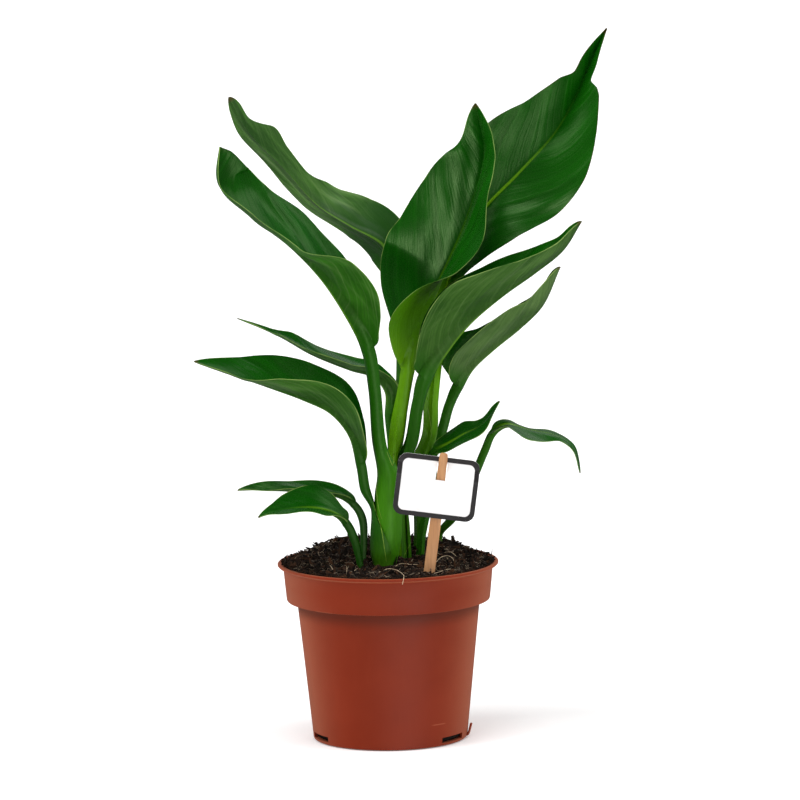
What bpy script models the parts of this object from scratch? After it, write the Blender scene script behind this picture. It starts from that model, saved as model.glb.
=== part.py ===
"""Young bird of paradise house plant in a round nursery pot, with a plain card on a wooden stick.

Twelve leaves stand in the potting soil. Each leaf is one lofted solid: its blade, its stalk and the
base that stands in the soil or wraps the stalk beside it. Leaf points are in millimetres and angles
in degrees. Looking along a leaf from base to tip, angle 0 points to the left as seen from the front,
90 points to the front and 180 points to the right. Each half of a blade leaves the rib at its own
angle, a or b.
"""

import math

import bmesh
import bpy
import numpy as np
from mathutils import Matrix, Vector, noise

MM = 0.001
GAP = 0.3

# Pot
RIM_Z = 96.5
LIP_R = 60.0
COLLAR_TOP_R = 57.0
COLLAR_R = 55.3
COLLAR_Z = 76.0
BODY_TOP_R = 49.7
BASE_R = 42.0
FOOT_R = 41.0
FOOT_THICK = 1.4
WALL = 1.4
POT_SIDES = 56
DRAIN_ANGLES = (-36, 84, 204)
DRAIN_SIZE = (12.0, 18.6, 3.1)
DRAIN_Z = 3.0

# Soil
SOIL_RINGS = (7, 14, 21, 28, 34, 39, 43.5, 47.5, 51)
SOIL_SIDES = 40
SOIL_EDGE_Z = 95.2
HOLE_FLOOR = 83.6
STEM_FOOT = 84.0

# Label
LABEL_Y = -40.0
LABEL_SLOT = (29.5, 151.0)
LABEL_LEAN = 7.8
STICK_SIZE = (6.0, 1.6)
STICK_UP = 10.4
STICK_DOWN = 74.0
CARD_SIZE = (44.0, 33.0)
CARD_SIDE = -1.8
CARD_THICK = 0.8
CARD_CORNER = 5.0
CARD_TOP = 8.0
CARD_STEP = 3.0
CARD_BEND = 8.0
CARD_SLOT = (6.8, 8.6)

# Leaves
BLADE_THICK = 0.8
COLUMNS = (-1, -0.75, -0.45, -0.2, 0, 0.2, 0.45, 0.75, 1)
CARRIED = ("arch", "half", "thick", "deep")
EVEN = ((0, 1), (1, 1))

# Centres of the leaf clusters where they leave the soil, and the lean of each above it
FRONT_SHOOT = ((-0.6, -19.0), (0.045, 0.0))
MAIN_SHOOT = ((7.2, 8.0), (-0.07, -0.08))
RIGHT_SHOOT = ((16.0, 20.0), (0.06, 0.0))
BACK_SHOOT = ((-2.0, 19.5), (0.03, 0.0))


# Leaf rows


def row(point, a, b, arch=None, half=None, thick=None, deep=None):
    """One place along a leaf: the rib's point, the two halves' angles, and the section there."""
    return dict(point=np.array(point, float), a=a, b=b, arch=arch, half=half, thick=thick, deep=deep)


def shoot_axis(shoot, z):
    (x, y), (lean_x, lean_y) = shoot
    rise = max(z - 98.0, 0.0)
    return np.array([x + lean_x * rise, y + lean_y * rise, z])


def upper_side(face):
    return np.array([-math.cos(math.radians(face)), -math.sin(math.radians(face)), 0])


def core(point, face, radius):
    """A nearly round stem, its flat side towards angle face."""
    centre = np.array(point, float) + upper_side(face) * 0.35 * radius
    return row(centre, face - 77, face + 77, -10, 0.93 * radius, 0.9, 1.33 * radius - 0.9)


def sheath(axis, face, radius, half_arc):
    """A leaf base that wraps round an axis, open towards angle face."""
    arc = math.radians(half_arc)
    curl = math.degrees(arc) / 2
    point = np.array(axis) - upper_side(face) * radius
    return row(point, face - 90 + curl, face + 90 - curl, -curl, radius * arc, 1.1, 0.0)


def stalk(x, y, z, face, half=3.2, deep=4.2):
    """A channelled stalk, its channel towards angle face."""
    return row((x, y, z), face - 60, face + 60, -8, half, 1.0, deep)


def rib(x, y, z, a, b, arch=None, half=None, deep=None):
    """The blade's rib: its halves leave it at angles a and b, with the upper side between them."""
    return row((x, y, z), a, b, arch, half, None if half is None else 1.0, deep)


# neck is the row where the blade begins, half its greatest half width and stalk the stalk's.
# widest and taper say how far up the blade is widest and how it narrows towards the tip.
# wave holds the height, the number and the shift of the waves in the margins.
# width_a and width_b scale the halves: pairs of a place up the blade, 0 to 1, and the scale there.
# steps holds the number of sections below and above the neck.
LEAVES = {
    "leaf_upper_left_front": dict(
        neck=8, half=27, stalk=3.2, wave=(0.8, 2.5, 0.1), steps=(16, 15),
        width_a=((0, 1), (0.04, 0.8), (0.1, 0.92), (0.2, 1), (1, 1)),
        width_b=((0, 1), (0.3, 0.9), (0.4, 0.84), (0.55, 0.93), (0.7, 1.03), (0.8, 1.15), (0.9, 1.6),
                 (0.95, 2.1), (0.985, 2.9), (1, 1)),
        rows=[
            core(shoot_axis(FRONT_SHOOT, STEM_FOOT), 215, 4.4),
            core(shoot_axis(FRONT_SHOOT, 97), 215, 4.8),
            core(shoot_axis(FRONT_SHOOT, 104.5), 215, 6.6),
            core(shoot_axis(FRONT_SHOOT, 114), 215, 7.7),
            core(shoot_axis(FRONT_SHOOT, 134), 212, 7.7),
            core(shoot_axis(FRONT_SHOOT, 146), 205, 6.9),
            stalk(-1.5, -19, 162, 185, 3.6, 4.6),
            stalk(-4, -20, 194, 180),
            rib(-8, -22, 216.5, 145, 235, 0, 3.2, 4),
            rib(-17, -25, 234, 149, 235, -10),
            rib(-32, -30, 256.5, 134, 235, -12),
            rib(-50, -35, 275, 97, 227, -10),
            rib(-71, -40, 291.5, 100, 223),
            rib(-86.5, -44, 308.5, 94, 205),
            rib(-85.5, -46, 328, 92, 205),
        ]),
    "leaf_mid_left": dict(
        neck=6, half=24, stalk=2.4, widest=0.45, taper=0.95, wave=(0.8, 2, 0.5), steps=(14, 15),
        width_b=((0, 1), (0.1, 0.82), (0.25, 1), (1, 1)),
        rows=[
            sheath(shoot_axis(FRONT_SHOOT, STEM_FOOT), 200, 5.3, 93),
            sheath(shoot_axis(FRONT_SHOOT, 97), 200, 5.9, 93),
            sheath(shoot_axis(FRONT_SHOOT, 104.5), 197, 7.85, 88),
            sheath(shoot_axis(FRONT_SHOOT, 114), 188, 8.35, 72),
            sheath(shoot_axis(FRONT_SHOOT, 127), 180, 8.3, 36),
            stalk(-10.5, -22, 141, 178, 2.4, 3.2),
            rib(-12.5, -24, 154.5, 120, 236, 0, 2.4, 3.2),
            rib(-18, -28, 171.5, 112, 236, -5),
            rib(-28.5, -32, 184, 121, 226, -10),
            rib(-43, -36, 191.5, 124, 224, -10),
            rib(-60.5, -41, 198.5, 117, 228),
            rib(-80.5, -45, 206, 95, 238),
            rib(-101.5, -48, 214, 95, 230),
        ]),
    "leaf_low_left_front": dict(
        neck=3, half=13.5, stalk=1.8, steps=(5, 12),
        width_a=((0, 1), (0.06, 0.45), (0.15, 0.4), (0.4, 0.8), (0.7, 0.8), (1, 0.5)),
        width_b=((0, 1), (0.1, 0.65), (0.25, 0.88), (0.4, 1), (0.7, 0.8), (0.85, 0.55), (1, 0.5)),
        rows=[
            core((-14.5, -24, STEM_FOOT), 175, 2.1),
            core((-14.5, -24, 97), 175, 2.1),
            stalk(-17, -26, 113.5, 165, 1.8, 2.4),
            rib(-21.5, -28, 123, 100, 225, 0, 1.8, 2.4),
            rib(-28.5, -32, 129, 86, 222, -10),
            rib(-38.5, -37, 132.5, 82, 220),
            rib(-51, -41, 133, 82, 218),
            rib(-61.5, -44, 131.5, 85, 212),
            rib(-69, -46, 129, 90, 205),
        ]),
    "leaf_low_left_back": dict(
        neck=3, half=9.5, stalk=1.7, steps=(5, 12),
        width_b=((0, 1), (0.1, 0.9), (0.5, 0.85), (0.8, 0.8), (1, 0.8)),
        rows=[
            core((-13, -12, STEM_FOOT), 175, 2.0),
            core((-13, -12, 98), 175, 2.0),
            stalk(-12.5, -11, 122, 165, 1.7, 2.3),
            rib(-17.5, -10, 130.5, 110, 235, 0, 1.7, 2.2),
            rib(-26.5, -8, 135, 100, 236, -8),
            rib(-40.5, -5, 136.5, 98, 236),
            rib(-55, -2, 137, 98, 234),
            rib(-69, 0, 137, 100, 225),
            rib(-81, 2, 136.5, 100, 215),
        ]),
    "leaf_centre": dict(
        neck=5, half=33.5, stalk=3.2, widest=0.46, taper=0.9, wave=(1.0, 2.5, 0.3),
        width_a=((0, 1), (0.2, 1.06), (0.4, 1.08), (0.5, 1), (0.8, 1), (0.9, 0.85), (1, 1)),
        width_b=((0, 1), (0.04, 1.15), (0.12, 1.2), (0.3, 1), (1, 1)),
        rows=[
            core(shoot_axis(MAIN_SHOOT, STEM_FOOT), 60, 2.35),
            core(shoot_axis(MAIN_SHOOT, 105), 60, 2.35),
            core(shoot_axis(MAIN_SHOOT, 150), 60, 2.35),
            stalk(5, 0, 167.5, 45),
            stalk(8, -1, 186, 15),
            rib(11, -2, 201.5, -55, 40, 0, 3.2, 4.2),
            rib(16.5, -1, 218.5, -50, 45, 0),
            rib(24, 1, 237.5, -25, 67, 0),
            rib(33.5, 4, 256, 0, 98, 6),
            rib(43.5, 7, 277.5, 0, 108, 10),
            rib(50.5, 9, 297.5, 2, 103),
            rib(55, 12, 319, 12, 106),
            rib(51, 14, 344, 20, 120),
        ]),
    "leaf_right_upper": dict(
        neck=5, half=26, stalk=3.2, wave=(0.8, 2, 0.2),
        width_a=((0, 1), (0.06, 0.7), (0.15, 0.8), (0.3, 0.88), (0.6, 0.95), (0.75, 0.85), (0.88, 0.7),
                 (1, 0.8)),
        width_b=((0, 1), (0.06, 0.72), (0.15, 0.8), (0.3, 1), (0.45, 1.2), (0.6, 1.12), (0.8, 1), (1, 1)),
        rows=[
            sheath(shoot_axis(MAIN_SHOOT, STEM_FOOT), 35, 3.25, 105),
            sheath(shoot_axis(MAIN_SHOOT, 120), 35, 3.25, 105),
            sheath(shoot_axis(MAIN_SHOOT, 142), 32, 3.6, 85),
            stalk(12.5, 0, 163, 8),
            stalk(16, -4, 184, 0),
            rib(21, -8, 199, -20, 20, 0, 3.2, 4.2),
            rib(30, -13, 212.5, -12, 24, -8),
            rib(44, -18, 229, -25, 36, -10),
            rib(62.5, -22, 244, -51, 50, -10),
            rib(81, -25, 256.5, -56, 57),
            rib(96, -29, 268.5, -50, 62),
            rib(106, -32, 284, -45, 60),
        ]),
    "leaf_upper_right": dict(
        neck=6, half=32, stalk=3.2, widest=0.45, taper=1.05, wave=(0.8, 3, 0.6),
        width_a=((0, 1), (0.4, 1), (0.55, 1.05), (0.7, 1), (0.8, 0.9), (0.845, 0.6), (0.9, 0.75), (1, 0.8)),
        width_b=((0, 1), (0.1, 0.5), (0.2, 0.76), (0.3, 0.87), (0.4, 0.9), (0.5, 1), (0.6, 1.03),
                 (0.7, 0.94), (0.8, 0.97), (0.822, 0.85), (0.838, 0.42), (0.9, 0.72), (1, 0.8)),
        rows=[
            sheath(shoot_axis(MAIN_SHOOT, STEM_FOOT), 60, 5.15, 90),
            sheath(shoot_axis(MAIN_SHOOT, 112), 60, 5.15, 90),
            sheath(shoot_axis(MAIN_SHOOT, 130), 55, 5.9, 60),
            stalk(22.5, 10, 163, 55),
            stalk(24, 9, 183.5, 60),
            stalk(26.5, 11, 205, 60),
            rib(30.5, 15, 229, 35, 140, 0, 3.2, 4.2),
            rib(39, 19, 257.5, 25, 132, 8),
            rib(54, 24, 284, 18, 148, 10),
            rib(75, 29, 305, 14, 162),
            rib(95.5, 34, 327, 26, 148),
            rib(109.5, 38, 352, 38, 125),
            rib(116, 40, 367.5, 45, 110),
            rib(123.5, 41, 381.5, 45, 110),
        ]),
    "leaf_right_lower": dict(
        neck=5, half=24, stalk=2.4, wave=(0.8, 2, 0.8), steps=(9, 13),
        width_a=((0, 1), (0.04, 1.5), (0.1, 1.25), (0.2, 0.95), (0.3, 0.75), (0.6, 0.7), (0.85, 0.55),
                 (1, 0.8)),
        rows=[
            core(shoot_axis(RIGHT_SHOOT, STEM_FOOT), 20, 2.45),
            core(shoot_axis(RIGHT_SHOOT, 105), 20, 2.45),
            core(shoot_axis(RIGHT_SHOOT, 140), 20, 2.45),
            stalk(28.5, 20, 162, 10, 2.4, 3),
            stalk(33.5, 19, 179, 5, 2.4, 3),
            rib(39, 17, 190.5, -30, 50, 0, 2.4, 3.2),
            rib(46.5, 15, 201, -35, 52, -8),
            rib(59, 11, 212, -52, 54, -10),
            rib(73, 9, 222.5, -58, 56),
            rib(85.5, 7, 234.5, -58, 56),
            rib(95.5, 5, 255.5, -50, 60),
        ]),
    "leaf_small_right": dict(
        neck=4, half=9.5, stalk=2.0, steps=(6, 10),
        width_a=((0, 1), (0.4, 0.95), (0.6, 0.6), (0.8, 0.5), (1, 0.5)),
        width_b=((0, 1), (0.4, 0.95), (0.6, 0.8), (1, 0.8)),
        rows=[
            core((18, 9.5, STEM_FOOT), 45, 2.2),
            core((18, 9.5, 104), 45, 2.2),
            stalk(24, 10, 140.5, 40, 2.2, 2.6),
            stalk(23, 8, 149.5, 30, 2.2, 2.6),
            rib(26, 5, 156, -45, 105, 0, 2, 2.2),
            rib(33, 2, 160.5, -58, 112, -5),
            rib(41.5, -2, 166, -60, 115),
            rib(51.5, -5, 171.5, -60, 115),
            rib(61.5, -8, 184.5, -45, 105),
        ]),
    "leaf_drooping_right": dict(
        neck=6, half=10.5, stalk=1.9, steps=(8, 12),
        width_a=((0, 1), (0.1, 0.7), (0.25, 0.35), (0.5, 0.5), (0.7, 0.7), (0.8, 1), (1, 0.8)),
        width_b=((0, 1), (0.08, 0.4), (0.15, 0.35), (0.3, 0.85), (0.45, 1.15), (0.55, 1), (0.66, 0.45),
                 (0.8, 0.8), (1, 0.6)),
        rows=[
            core((28, 33, STEM_FOOT), 0, 2.4),
            core((28, 33, 96), 0, 2.3),
            core((28.3, 32.7, 106), 0, 2.3),
            stalk(35.5, 24, 117.5, 0, 2.0, 2.6),
            stalk(46.5, 14, 140.5, 0, 2.0, 2.4),
            stalk(52.5, 8, 155.5, 0, 2.0, 2.4),
            rib(57.5, 3, 166.5, -60, 95, 0, 1.9, 2.2),
            rib(65.5, -2, 171.5, -80, 110, 5),
            rib(78, -8, 169, -85, 112),
            rib(91, -14, 166.5, -85, 112),
            rib(101, -19, 161, -85, 112),
            rib(104.5, -22, 146.5, -80, 105),
        ]),
    "leaf_upper_left_back": dict(
        neck=5, half=24.5, stalk=3.2, taper=0.68, wave=(0.6, 2.5, 0.9),
        width_a=((0, 1), (0.2, 1.15), (0.3, 1.08), (0.4, 1), (0.5, 1), (0.6, 0.67), (0.7, 0.8),
                 (0.8, 1.14), (0.9, 0.58), (1, 1)),
        rows=[
            core(shoot_axis(BACK_SHOOT, STEM_FOOT), 170, 2.3),
            core(shoot_axis(BACK_SHOOT, 120), 170, 2.3),
            stalk(8, 22.5, 159.5, 180),
            stalk(11, 25, 192.5, 200),
            stalk(11, 28, 225, 220),
            rib(8.5, 31, 245.5, 235, 310, 0, 3.2, 4.2),
            rib(1, 34, 265, 230, 305, 5),
            rib(-18, 38, 276.5, 232, 290, 8),
            rib(-35, 43, 287, 240, 288, 8),
            rib(-53.5, 48, 307, 243, 289),
            rib(-73, 52, 327.5, 232, 295),
            rib(-83, 55, 346, 230, 300),
        ]),
    "leaf_mid_left_back": dict(
        neck=4, half=11.5, stalk=2.6, steps=(10, 13),
        width_a=((0, 1), (0.08, 0.95), (0.18, 0.9), (0.32, 1), (0.72, 1), (0.84, 0.4), (1, 0.4)),
        width_b=((0, 1), (0.08, 1), (0.18, 0.9), (0.32, 1), (0.72, 0.95), (0.84, 0.3), (1, 0.3)),
        rows=[
            sheath(shoot_axis(BACK_SHOOT, STEM_FOOT), 225, 3.4, 90),
            sheath(shoot_axis(BACK_SHOOT, 112), 225, 3.9, 66),
            stalk(0.2, 13.4, 132, 235, 2.4, 2.4),
            stalk(4.2, 13.2, 150, 215, 2.3, 2.6),
            rib(3.4, 11.5, 175, 140, 228, 0, 2.4, 3),
            rib(2.5, 11.5, 188, 136, 228, -6),
            rib(-4.5, 12.5, 197, 116, 244, -8),
            rib(-19, 16, 201, 106, 248, -8),
            rib(-39.5, 20, 208.5, 102, 246),
            rib(-59, 24, 219, 102, 244),
            rib(-80, 27, 227.5, 102, 240),
        ]),
}

# Centre, radius of each round hole in the soil
STEM_HOLES = (
    (FRONT_SHOOT[0], 7.4),
    (MAIN_SHOOT[0], 6.6),
    (RIGHT_SHOOT[0], 3.1),
    (BACK_SHOOT[0], 5.6),
    ((-14.5, -24), 2.7),
    ((-13, -12), 2.6),
    ((18, 9.5), 2.8),
    ((28, 33), 3.5),
)


# Leaf loft


def smooth_path(points, per_key=20):
    """Centripetal Catmull-Rom curve: its fine points, their distances, and the keys' distances."""
    ends = np.vstack([2 * points[0] - points[1], points, 2 * points[-1] - points[-2]])
    knots = np.concatenate([[0], np.cumsum(np.sqrt(np.linalg.norm(np.diff(ends, axis=0), axis=1)))])
    fine = []
    for i in range(1, len(ends) - 2):
        p, t = ends[i - 1:i + 3], knots[i - 1:i + 3]
        for x in np.linspace(t[1], t[2], per_key, endpoint=False):
            level = list(p)
            for step in (1, 2):
                level = [
                    ((t[k + step] - x) * level[k] + (x - t[k]) * level[k + 1]) / (t[k + step] - t[k])
                    for k in range(len(level) - 1)
                ]
            fine.append(((t[2] - x) * level[0] + (x - t[1]) * level[1]) / (t[2] - t[1]))
    fine = np.array(fine + [points[-1]])
    far = np.concatenate([[0], np.cumsum(np.linalg.norm(np.diff(fine, axis=0), axis=1))])
    return fine, far, far[::per_key]


def smooth_value(keys, values, where):
    """Monotone cubic through the keyed values."""
    step = np.diff(keys)
    slope = np.diff(values) / step
    tangent = np.zeros(len(values))
    for i in range(1, len(values) - 1):
        if slope[i - 1] * slope[i] > 0:
            tangent[i] = 2 * slope[i - 1] * slope[i] / (slope[i - 1] + slope[i])
    out = []
    for x in where:
        i = min(max(int(np.searchsorted(keys, x)) - 1, 0), len(step) - 1)
        t = min(max((x - keys[i]) / step[i], 0), 1)
        out.append(
            (2 * t**3 - 3 * t**2 + 1) * values[i] + (t**3 - 2 * t**2 + t) * step[i] * tangent[i]
            + (3 * t**2 - 2 * t**3) * values[i + 1] + (t**3 - t**2) * step[i] * tangent[i + 1]
        )
    return np.array(out)


def stations(leaf):
    """Everything the section needs at each place along the leaf."""
    rows = leaf["rows"]
    for before, after in zip(rows, rows[1:]):
        for name in CARRIED:
            if after[name] is None:
                after[name] = before[name]
    fine, far, keys = smooth_path(np.array([r["point"] for r in rows]))
    below, above = leaf.get("steps", (9, 15))
    neck, length = keys[leaf["neck"]], far[-1]
    spread = np.linspace(0, 1, above + 1)
    spread = 0.5 * spread + 0.25 * (1 - np.cos(math.pi * spread))
    own = [up for side in ("width_a", "width_b") for up, scale in leaf.get(side, ()) if up > 0.8]
    spread = np.union1d(spread[np.abs(np.subtract.outer(spread, own + [9])).min(axis=1) > 0.015], own)
    where = np.concatenate([np.linspace(0, neck, below, endpoint=False), neck + (length - neck) * spread])

    def along(x):
        return np.stack([np.interp(x, far, fine[:, k]) for k in range(3)], -1)

    forward = along(np.clip(where + 0.5, 0, length)) - along(np.clip(where - 0.5, 0, length))
    forward /= np.linalg.norm(forward, axis=1, keepdims=True)
    made = {name: smooth_value(keys, [r[name] for r in rows], where) for name in ("a", "b", *CARRIED)}
    up_blade = np.clip((where - neck) / (length - neck), 0, 1)
    taper = leaf.get("taper", 0.75)
    widest = leaf.get("widest", 0.42)
    rise = widest / (1 - widest) * taper
    outline = up_blade**rise * (1 - up_blade)**taper / (widest**rise * (1 - widest)**taper)
    stem = leaf["stalk"] * (1 - up_blade)**2
    blade_half = np.sqrt(stem**2 + (leaf["half"] * outline)**2) + 0.5 * up_blade
    on_blade = up_blade > 0
    made["half"] = np.where(on_blade, blade_half, made["half"])
    become = np.clip(up_blade / 0.12, 0, 1)
    made["thick"] = made["thick"] * (1 - become) + BLADE_THICK * become
    made["deep"] = made["deep"] * (1 - up_blade)**1.6
    rib_half = np.minimum(made["half"], leaf["stalk"] * (1 - up_blade) + 0.7)
    made["rib"] = np.where(on_blade, rib_half, made["half"])
    made["up_blade"] = up_blade
    for side in ("width_a", "width_b"):
        places, scales = zip(*leaf.get(side, EVEN))
        made[side] = smooth_value(places, scales, up_blade)
    return along(where), forward, made


def section(point, forward, s, wave):
    """Upper and lower points across the leaf at one station."""
    left = np.cross(forward, (0, 1, 0))
    left /= np.linalg.norm(left)
    front = np.cross(forward, left)

    def direction(angle):
        return math.cos(math.radians(angle)) * left + math.sin(math.radians(angle)) * front

    rib_up = direction((s["a"] + s["b"]) / 2)
    height, count, phase = wave
    swell = math.sin(math.pi * s["up_blade"])**0.7 if 0 < s["up_blade"] < 1 else 0
    upper, lower = [], []
    for v in COLUMNS:
        angle, turn = (s["a"], 1) if v < 0 else (s["b"], -1)
        m = abs(v)
        half = s["half"] * s["width_a" if v < 0 else "width_b"]
        p = np.zeros(3)
        for j in range(8):
            x = (j + 0.5) / 8 * m
            p += direction(angle + turn * s["arch"] * (1 - 2 * x)) * half * m / 8
        normal = direction(angle + turn * (s["arch"] * (1 - 2 * m) + 90))
        if m < 0.3:
            normal = rib_up if m == 0 else (normal + rib_up) / np.linalg.norm(normal + rib_up)
        ripple = math.sin(2 * math.pi * (count * s["up_blade"] + phase + (0.37 if v > 0 else 0)))
        p += normal * height * m**2 * swell * ripple
        down = s["thick"] + s["deep"] * math.sqrt(max(0, 1 - (m * half / s["rib"])**2))
        upper.append(point + p)
        lower.append(point + p - normal * down)
    return upper + lower[::-1]


def loft(rings):
    """Closed triangle mesh through the rings, split alike on the upper and the lower face."""
    across = len(rings[0])
    columns = across // 2
    faces = []
    for i in range(len(rings) - 1):
        for j in range(across):
            k = (j + 1) % across
            p, q = i * across + j, i * across + k
            s, r = p + across, q + across
            faces += [(p, q, r), (p, r, s)] if j < columns else [(p, q, s), (q, r, s)]
    last = (len(rings) - 1) * across
    for j in range(columns - 1):
        p, q, r, s = j, j + 1, across - 2 - j, across - 1 - j
        faces += [(p, s, r), (p, r, q)]
        faces += [(last + p, last + r, last + s), (last + p, last + q, last + r)]
    return np.concatenate(rings), faces


def build_leaf(name, leaf, material):
    points, forwards, made = stations(leaf)
    wave = leaf.get("wave", (0.6, 2, 0.2))
    rings = [
        section(points[i], forwards[i], {k: v[i] for k, v in made.items()}, wave)
        for i in range(len(points))
    ]
    vertices, faces = loft(rings)
    return add_mesh(name, vertices, faces, material)


# Shared


def add_mesh(name, vertices, faces, material, shade=False):
    """Object from points in millimetres, with its faces turned outwards."""
    mesh = bpy.data.meshes.new(name)
    mesh.from_pydata([Vector(v) * MM for v in vertices], [], faces)
    edit = bmesh.new()
    edit.from_mesh(mesh)
    bmesh.ops.recalc_face_normals(edit, faces=edit.faces)
    if edit.calc_volume(signed=True) < 0:
        bmesh.ops.reverse_faces(edit, faces=edit.faces)
    edit.to_mesh(mesh)
    edit.free()
    if material:
        mesh.materials.append(material)
    obj = bpy.data.objects.new(name, mesh)
    bpy.context.scene.collection.objects.link(obj)
    mesh.shade_smooth()
    mesh.set_sharp_from_angle(angle=math.radians(35))
    return obj


def add_cutter(name, vertices, faces):
    cutter = add_mesh(name, vertices, faces, None)
    cutter.hide_render = True
    cutter.display_type = "WIRE"
    return cutter


def cut(target, cutter):
    boolean = target.modifiers.new(cutter.name, "BOOLEAN")
    boolean.operation = "DIFFERENCE"
    boolean.solver = "EXACT"
    boolean.object = cutter


def revolve(profile, sides):
    """Points and faces of a closed profile turned about Z, its ends on the axis."""
    vertices = [(0, 0, profile[0][1]), (0, 0, profile[-1][1])]
    inner = profile[1:-1]
    for r, z in inner:
        for k in range(sides):
            angle = 2 * math.pi * k / sides
            vertices.append((r * math.cos(angle), r * math.sin(angle), z))
    faces = []
    for k in range(sides):
        n = (k + 1) % sides
        faces.append((0, 2 + n, 2 + k))
        for i in range(len(inner) - 1):
            a, b = 2 + i * sides, 2 + (i + 1) * sides
            faces.append((a + k, a + n, b + n, b + k))
        last = 2 + (len(inner) - 1) * sides
        faces.append((last + k, last + n, 1))
    return vertices, faces


def turned_box(centre, size, turn):
    """Corner points and faces of a box, turned by a matrix about its centre."""
    corners = [
        Vector(centre) + turn @ Vector((x * size[0] / 2, y * size[1] / 2, z * size[2] / 2))
        for x in (-1, 1) for y in (-1, 1) for z in (-1, 1)
    ]
    faces = [(0, 1, 3, 2), (4, 6, 7, 5), (0, 4, 5, 1), (2, 3, 7, 6), (0, 2, 6, 4), (1, 5, 7, 3)]
    return corners, faces


def make_material(name, colour, roughness, coat=0.0):
    material = bpy.data.materials.new(name)
    material.use_nodes = True
    shader = material.node_tree.nodes["Principled BSDF"]
    shader.inputs["Base Color"].default_value = (*colour, 1)
    shader.inputs["Roughness"].default_value = roughness
    shader.inputs["Coat Weight"].default_value = coat
    material.diffuse_color = (*colour, 1)
    return material


# Pot and soil


def pot_profile():
    """Half outline of the pot, from the middle of its foot up the outside and down the inside."""
    return [
        (0, 0), (FOOT_R, 0), (BASE_R - 0.2, 0.3), (BASE_R, 0.9),
        (BODY_TOP_R, COLLAR_Z - 0.6), (COLLAR_R - 0.6, COLLAR_Z), (COLLAR_R, COLLAR_Z + 0.7),
        (COLLAR_TOP_R, RIM_Z - 2.5), (LIP_R - 0.6, RIM_Z - 1.7), (LIP_R, RIM_Z - 1.0),
        (LIP_R - 0.2, RIM_Z - 0.2), (LIP_R - 0.9, RIM_Z), (COLLAR_TOP_R - 0.2, RIM_Z - 0.4),
        (COLLAR_TOP_R - WALL, RIM_Z - 1.8), (COLLAR_R - WALL, COLLAR_Z + WALL + 0.4),
        (BODY_TOP_R - WALL, COLLAR_Z - 0.8), (BASE_R - WALL, FOOT_THICK + 0.8),
        (BASE_R - WALL - 0.8, FOOT_THICK), (0, FOOT_THICK),
    ]


def build_pot(material):
    pot = add_mesh("pot", *revolve(pot_profile(), POT_SIDES), material)
    for k, angle in enumerate(DRAIN_ANGLES):
        turn = Matrix.Rotation(math.radians(angle), 3, "Z")
        centre = turn @ Vector((BASE_R, 0, DRAIN_Z))
        cut(pot, add_cutter(f"drain_cutter_{k}", *turned_box(centre, DRAIN_SIZE, turn)))
    return pot


def soil_height(x, y):
    """Loose peat, heaped behind the stems and settled at the wall."""
    r = math.hypot(x, y)
    rise = min(max((y - 5) / 35, 0), 1)
    settle = 1 - min(max((r - 46) / 8.5, 0), 1)**2
    heap = 1.2 * (1 - (r / 56)**3) + 6 * rise * rise * (3 - 2 * rise)
    clods = 1.1 * noise.noise(Vector((x, y, 3)) * 0.11) + 0.8 * noise.noise(Vector((x, y, 9)) * 0.27)
    return SOIL_EDGE_Z + 0.5 + heap * settle + clods * min(1, (54.5 - r) / 6)


def build_soil(material):
    wall = [
        (COLLAR_TOP_R - WALL - GAP - 0.15, SOIL_EDGE_Z), (COLLAR_R - WALL - GAP, COLLAR_Z + WALL + 0.8),
        (BODY_TOP_R - WALL - GAP, COLLAR_Z - 0.8), (BASE_R - WALL - GAP, FOOT_THICK + 1.2),
        (BASE_R - WALL - GAP - 0.9, FOOT_THICK + GAP),
    ]
    vertices = [(0, 0, soil_height(0, 0)), (0, 0, FOOT_THICK + GAP)]
    rings = [(r, None) for r in SOIL_RINGS] + wall
    for r, z in rings:
        for k in range(SOIL_SIDES):
            angle = 2 * math.pi * (k + 0.5) / SOIL_SIDES
            x, y = r * math.cos(angle), r * math.sin(angle)
            vertices.append((x, y, soil_height(x, y) if z is None else z))
    faces = []
    for k in range(SOIL_SIDES):
        n = (k + 1) % SOIL_SIDES
        faces.append((0, 2 + k, 2 + n))
        for i in range(len(rings) - 1):
            a, b = 2 + i * SOIL_SIDES, 2 + (i + 1) * SOIL_SIDES
            faces += [(a + k, b + k, b + n), (a + k, b + n, a + n)]
        last = 2 + (len(rings) - 1) * SOIL_SIDES
        faces.append((last + k, 1, last + n))
    soil = add_mesh("soil", vertices, faces, material)
    for k, ((x, y), r) in enumerate(STEM_HOLES):
        hole = revolve([(0, HOLE_FLOOR), (r, HOLE_FLOOR), (r, 115), (0, 115)], 20)
        moved = [(px + x, py + y, pz) for px, py, pz in hole[0]]
        cut(soil, add_cutter(f"hole_cutter_{k}", moved, hole[1]))
    turn, origin = label_frame()
    slot = (STICK_SIZE[0] + 2 * GAP + 0.2, STICK_SIZE[1] + 2 * GAP + 0.2, 60)
    centre = origin + turn @ Vector((0, 0, 30 - STICK_DOWN - GAP))
    cut(soil, add_cutter("stick_cutter", *turned_box(centre, slot, turn)))
    return soil


# Label


def label_frame():
    """Turn and origin of the label: its origin is on the stick, at the card's slot."""
    turn = Matrix.Rotation(math.radians(LABEL_LEAN), 3, "Y")
    return turn, Vector((LABEL_SLOT[0], LABEL_Y, LABEL_SLOT[1]))


def place_label(points):
    turn, origin = label_frame()
    return [origin + turn @ Vector(p) for p in points]


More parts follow.
